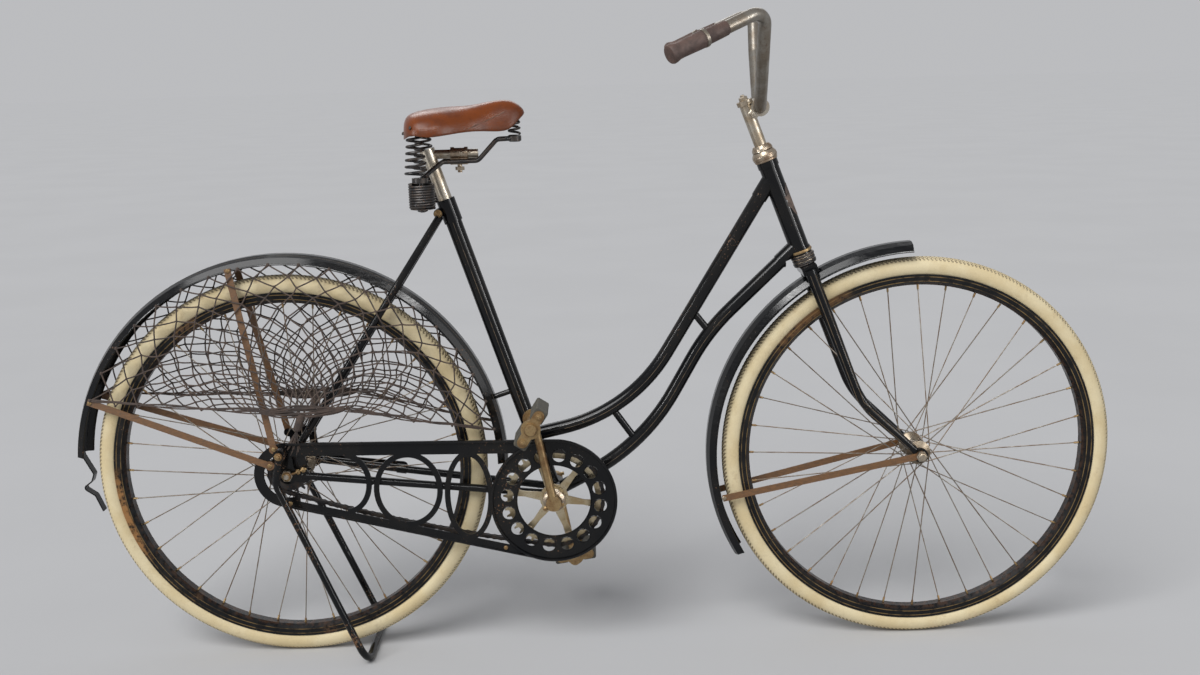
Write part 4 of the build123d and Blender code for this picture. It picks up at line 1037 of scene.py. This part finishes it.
def tube_lines():
    """Worn gold lines along both sides of the frame tubes."""
    shape = Shape()
    upper = rounded([HEAD_FOOT + HEAD_DIR * 150, (621.2, 0, 440.9), (432, 0, 399.3)], 297.0, 14)
    lower = rounded([HEAD_FOOT + HEAD_DIR * 19, (762.5, 0, 585), (641.6, 0, 375.8), (476, 0, 293)], 380.0, 14)
    seat = [Vector((470, 0, 312)), Vector((312, 0, 800))]
    for path, r in ((upper[1:-1], 12.7), (lower[1:-1], 12.7), (seat, 14.3)):
        for hand in SIDES:
            shape.tube([p + Vector((0, hand * r * 0.995, 0)) for p in path], 0.55, 5)
    shape.piece("frame_lines", "frame", "gold")


FINISH = {
    "enamel": enamel(),
    "stand": enamel("rubbed_enamel", 0.30),
    "nickel": nickel("old_nickel", (0.50, 0.46, 0.39, 1), (0.30, 0.24, 0.17, 1)),
    "hub": nickel("tarnished_nickel", (0.22, 0.185, 0.14, 1), (0.105, 0.078, 0.052, 1)),
    "chain_wheel": nickel("yellowed_nickel", (0.56, 0.48, 0.33, 1), (0.36, 0.27, 0.15, 1)),
    "bar": mottled("dull_bar_nickel", (28.0, 6.0, 0.62), (0.35, 0.65),
                   ((0.28, 0.262, 0.23, 1), (0.19, 0.16, 0.125, 1)), (0.28, 0.44), (0.2, 0.0002),
                   ((300.0, 6.0, 0.7), (0.52, 0.64), 0.5, (0.13, 0.08, 0.05, 1), 0.0), metal=0.85),
    "brass": mottled("worn_brass", (45.0, 6.0, 0.62), (0.35, 0.68),
                     ((0.36, 0.255, 0.125, 1), (0.20, 0.115, 0.05, 1)), (0.34, 0.5), (0.35, 0.0003),
                     ((500.0, 5.0, 0.7), (0.50, 0.66), 0.7, (0.12, 0.058, 0.026, 1), 0.2), metal=0.75),
    "wire": mottled("rusted_wire", (55.0, 5.0, 0.6), (0.38, 0.62),
                    ((0.25, 0.225, 0.19, 1), (0.17, 0.115, 0.075, 1)), (0.4, 0.65), (0.3, 0.0002),
                    fine=(900.0, 3.0), metal=0.55),
    "dark": mottled("dark_steel", (70.0, 5.0, 0.6), (0.35, 0.65),
                    ((0.030, 0.030, 0.032, 1), (0.055, 0.045, 0.038, 1)), (0.3, 0.5), (0.25, 0.0002),
                    ((280.0, 5.0, 0.65), (0.56, 0.68), 0.7, RUST, 0.0), metal=0.5),
    "tan": tan_paint(),
    "leather": leather(),
    "grip": dull_cover("brown_grip", (0.120, 0.066, 0.050, 1), (0.065, 0.038, 0.030, 1)),
    "cover": dull_cover("thin_cover", (0.100, 0.054, 0.040, 1), (0.058, 0.031, 0.024, 1)),
    "cord": cord_fibre(),
    "rubber": mottled("perished_rubber", (70.0, 6.0, 0.65), (0.35, 0.68),
                      ((0.050, 0.048, 0.040, 1), (0.085, 0.078, 0.058, 1)), (0.7, 0.9), (0.4, 0.0005),
                      ((300.0, 5.0), (0.5, 0.72), 0.5, (0.15, 0.12, 0.08, 1), 0.0), (70.0, 6.0, 0.65)),
    "gold": dull_cover("worn_gold_line", (0.15, 0.10, 0.05, 1), (0.020, 0.017, 0.014, 1)),
    "head": mottled("head_plate", (60.0, 6.0, 0.62), (0.36, 0.66),
                    ((0.42, 0.36, 0.28, 1), (0.25, 0.175, 0.115, 1)), (0.24, 0.4), (0.25, 0.0002),
                    ((220.0, 5.0, 0.7), (0.50, 0.66), 0.6, (0.12, 0.062, 0.036, 1), 0.2), metal=0.85),
    "patch": dull_cover("bare_patch", (0.20, 0.135, 0.10, 1), (0.055, 0.040, 0.034, 1)),
    "crease": dull_cover("worn_crease", (0.24, 0.11, 0.06, 1), (0.11, 0.045, 0.022, 1)),
    "front_rim": rim_enamel("front_rim_enamel", WHEELBASE, 128, 0.4),
    "rear_rim": rim_enamel("rear_rim_enamel", 0.0, 195, 1.0),
    # Darker brown for the faces of the tyre grooves.
    "groove_tone": mottled("tread_groove_tone", (120.0, 5.0, 0.6), (0.35, 0.65),
                    ((0.22, 0.17, 0.10, 1), (0.36, 0.29, 0.18, 1)), (0.8, 0.95), (0.4, 0.0004)),
    "floor": mottled("studio_paper", (1.3, 3.0), (0.3, 0.7), ((0.56, 0.56, 0.565, 1), (0.575, 0.575, 0.58, 1)),
                     (0.75, 0.85), (0.05, 0.0005), fine=(60.0, 3.0), shine=0.0),
    "front_tyre": cream_rubber("front_cream", WHEELBASE),
    "rear_tyre": cream_rubber("rear_cream", 0.0),
}

# CAD nodes by finish. Any other node takes the finish of its own name, or else black enamel.
NODE_FINISH = {
    "nickel": "seat_post stem crank_spindle front_axle rear_axle",
    "hub": "front_hub rear_hub",
    "bar": "handlebar",
    "head": "head_cups head_nut saddle_clamp",
    "brass": "cranks pedal_axles right_pedal_cage left_pedal_cage",
    "tan": "rear_fender_stays front_fender_stays",
    "dark": "saddle_rails saddle_springs cog chain",
    "wire": "front_spokes rear_spokes",
    "cord": "skirt_nets net_ties",
    "leather": "saddle_top",
    "grip": "grips",
    "rubber": "right_pedal_blocks left_pedal_blocks",
}


def dress_nodes():
    """Give every CAD node its finish."""
    finish = {name: key for key, names in NODE_FINISH.items() for name in names.split()}
    for name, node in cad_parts.items():
        key = finish.get(name, name if name in FINISH else "enamel")
        for slot in node.material_slots:
            slot.material = FINISH[key]


def studio():
    """Pale round floor that runs out to the horizon."""
    shape = Shape()
    shape.loft([[(r * cos(a), r * sin(a), 0.0) for a in turns(64)] for r in (80.0, 30.0, 12.0, 4.0, 0.05)])
    del shape.faces[-2]  # the cap over the outer edge
    mesh = bpy.data.meshes.new("studio_floor")
    mesh.from_pydata(shape.points, [], shape.faces)
    mesh.materials.append(FINISH["floor"])
    placed("studio_floor", mesh)


def lamp(name, at, aim, size, power):
    """Soft lamp that is seen in gloss only, so it leaves no pool of light on the floor."""
    light = bpy.data.lights.new(name, "AREA")
    light.shape = "RECTANGLE"
    light.size, light.size_y = size
    light.energy = power
    made = placed(name, light)
    made.location = at
    made.rotation_euler = (Vector(aim) - Vector(at)).to_track_quat("-Z", "Y").to_euler()
    made.visible_camera = False
    made.visible_diffuse = False


def sky_light():
    """Broad soft key from the upper left, even over the whole floor."""
    light = bpy.data.lights.new("key", "SUN")
    light.energy = 2.2
    light.angle = radians(35)
    placed("key", light).rotation_euler = Vector((0.4, 0.62, -0.8)).to_track_quat("-Z", "Y").to_euler()


def studio_air():
    """Even light from all round, seen directly and in gloss as the floor's own pale grey."""
    world = bpy.data.worlds.new("studio_air")
    world.use_nodes = True
    tree = world.node_tree
    link = tree.links.new
    air = tree.nodes["Background"]
    air.inputs[0].default_value = (0.80, 0.82, 0.86, 1)
    air.inputs[1].default_value = 0.45
    seen = tree.nodes.new("ShaderNodeBackground")
    seen.inputs[0].default_value = (0.501, 0.506, 0.521, 1)
    rays = tree.nodes.new("ShaderNodeLightPath")
    share = rays.outputs["Is Camera Ray"]
    for kind in ("Is Glossy Ray", "Is Transmission Ray"):
        both = tree.nodes.new("ShaderNodeMath")
        both.operation = "MAXIMUM"
        link(share, both.inputs[0])
        link(rays.outputs[kind], both.inputs[1])
        share = both.outputs[0]
    mix = tree.nodes.new("ShaderNodeMixShader")
    link(share, mix.inputs[0])
    link(air.outputs[0], mix.inputs[1])
    link(seen.outputs[0], mix.inputs[2])
    link(mix.outputs[0], tree.nodes["World Output"].inputs[0])
    bpy.context.scene.world = world


def lighting():
    """Soft key and fill, with strips that draw the gloss along the tubes."""
    sky_light()
    studio_air()
    lamp("fill", (2.8, -2.6, 1.8), (0, 0, 0.5), (2.0, 2.0), 30)
    lamp("back", (0.0, 3.6, 3.2), (0, 0, 0.4), (3.6, 1.6), 45)
    lamp("left_strip", (-4.4, -3.0, 1.4), (0, 0, 0.6), (0.3, 2.4), 80)
    lamp("right_strip", (4.4, -3.0, 1.4), (0, 0, 0.6), (0.3, 2.4), 60)
    lamp("front_strip", (0.0, -2.8, 2.8), (0, 0, 0.5), (3.4, 0.18), 55)


def camera():
    """The photograph's view."""
    eye = bpy.data.cameras.new("camera")
    eye.lens = CAMERA_LENS
    eye.sensor_width = 36.0
    eye.sensor_fit = "HORIZONTAL"
    made = placed("camera", eye)
    turn = Matrix.Rotation(-CAMERA_YAW, 4, "Z") @ Matrix.Rotation(pi / 2 - CAMERA_PITCH, 4, "X")
    turn = turn @ Matrix.Rotation(-CAMERA_ROLL, 4, "Z")
    made.matrix_world = Matrix.Translation(CAMERA_AT * MM + SHIFT) @ turn
    bpy.context.scene.camera = made


dress_nodes()
for make in (tyre, spokes):
    make("front", WHEELBASE)
    make("rear", 0.0)
skirt_nets()
net_tassel()
chain()
saddle()
saddle_springs()
grips()
pedal_rubbers("right", -1)
pedal_rubbers("left", 1)
fender_trim()
guard_trim()
spring_clip()
frame_nuts()
chain_adjusters()
fork_nuts()
head_rings()
head_patch()
crank_cotters()
fork_lines()
tube_lines()
studio()
lighting()
camera()
bpy.context.scene.view_settings.view_transform = "Standard"
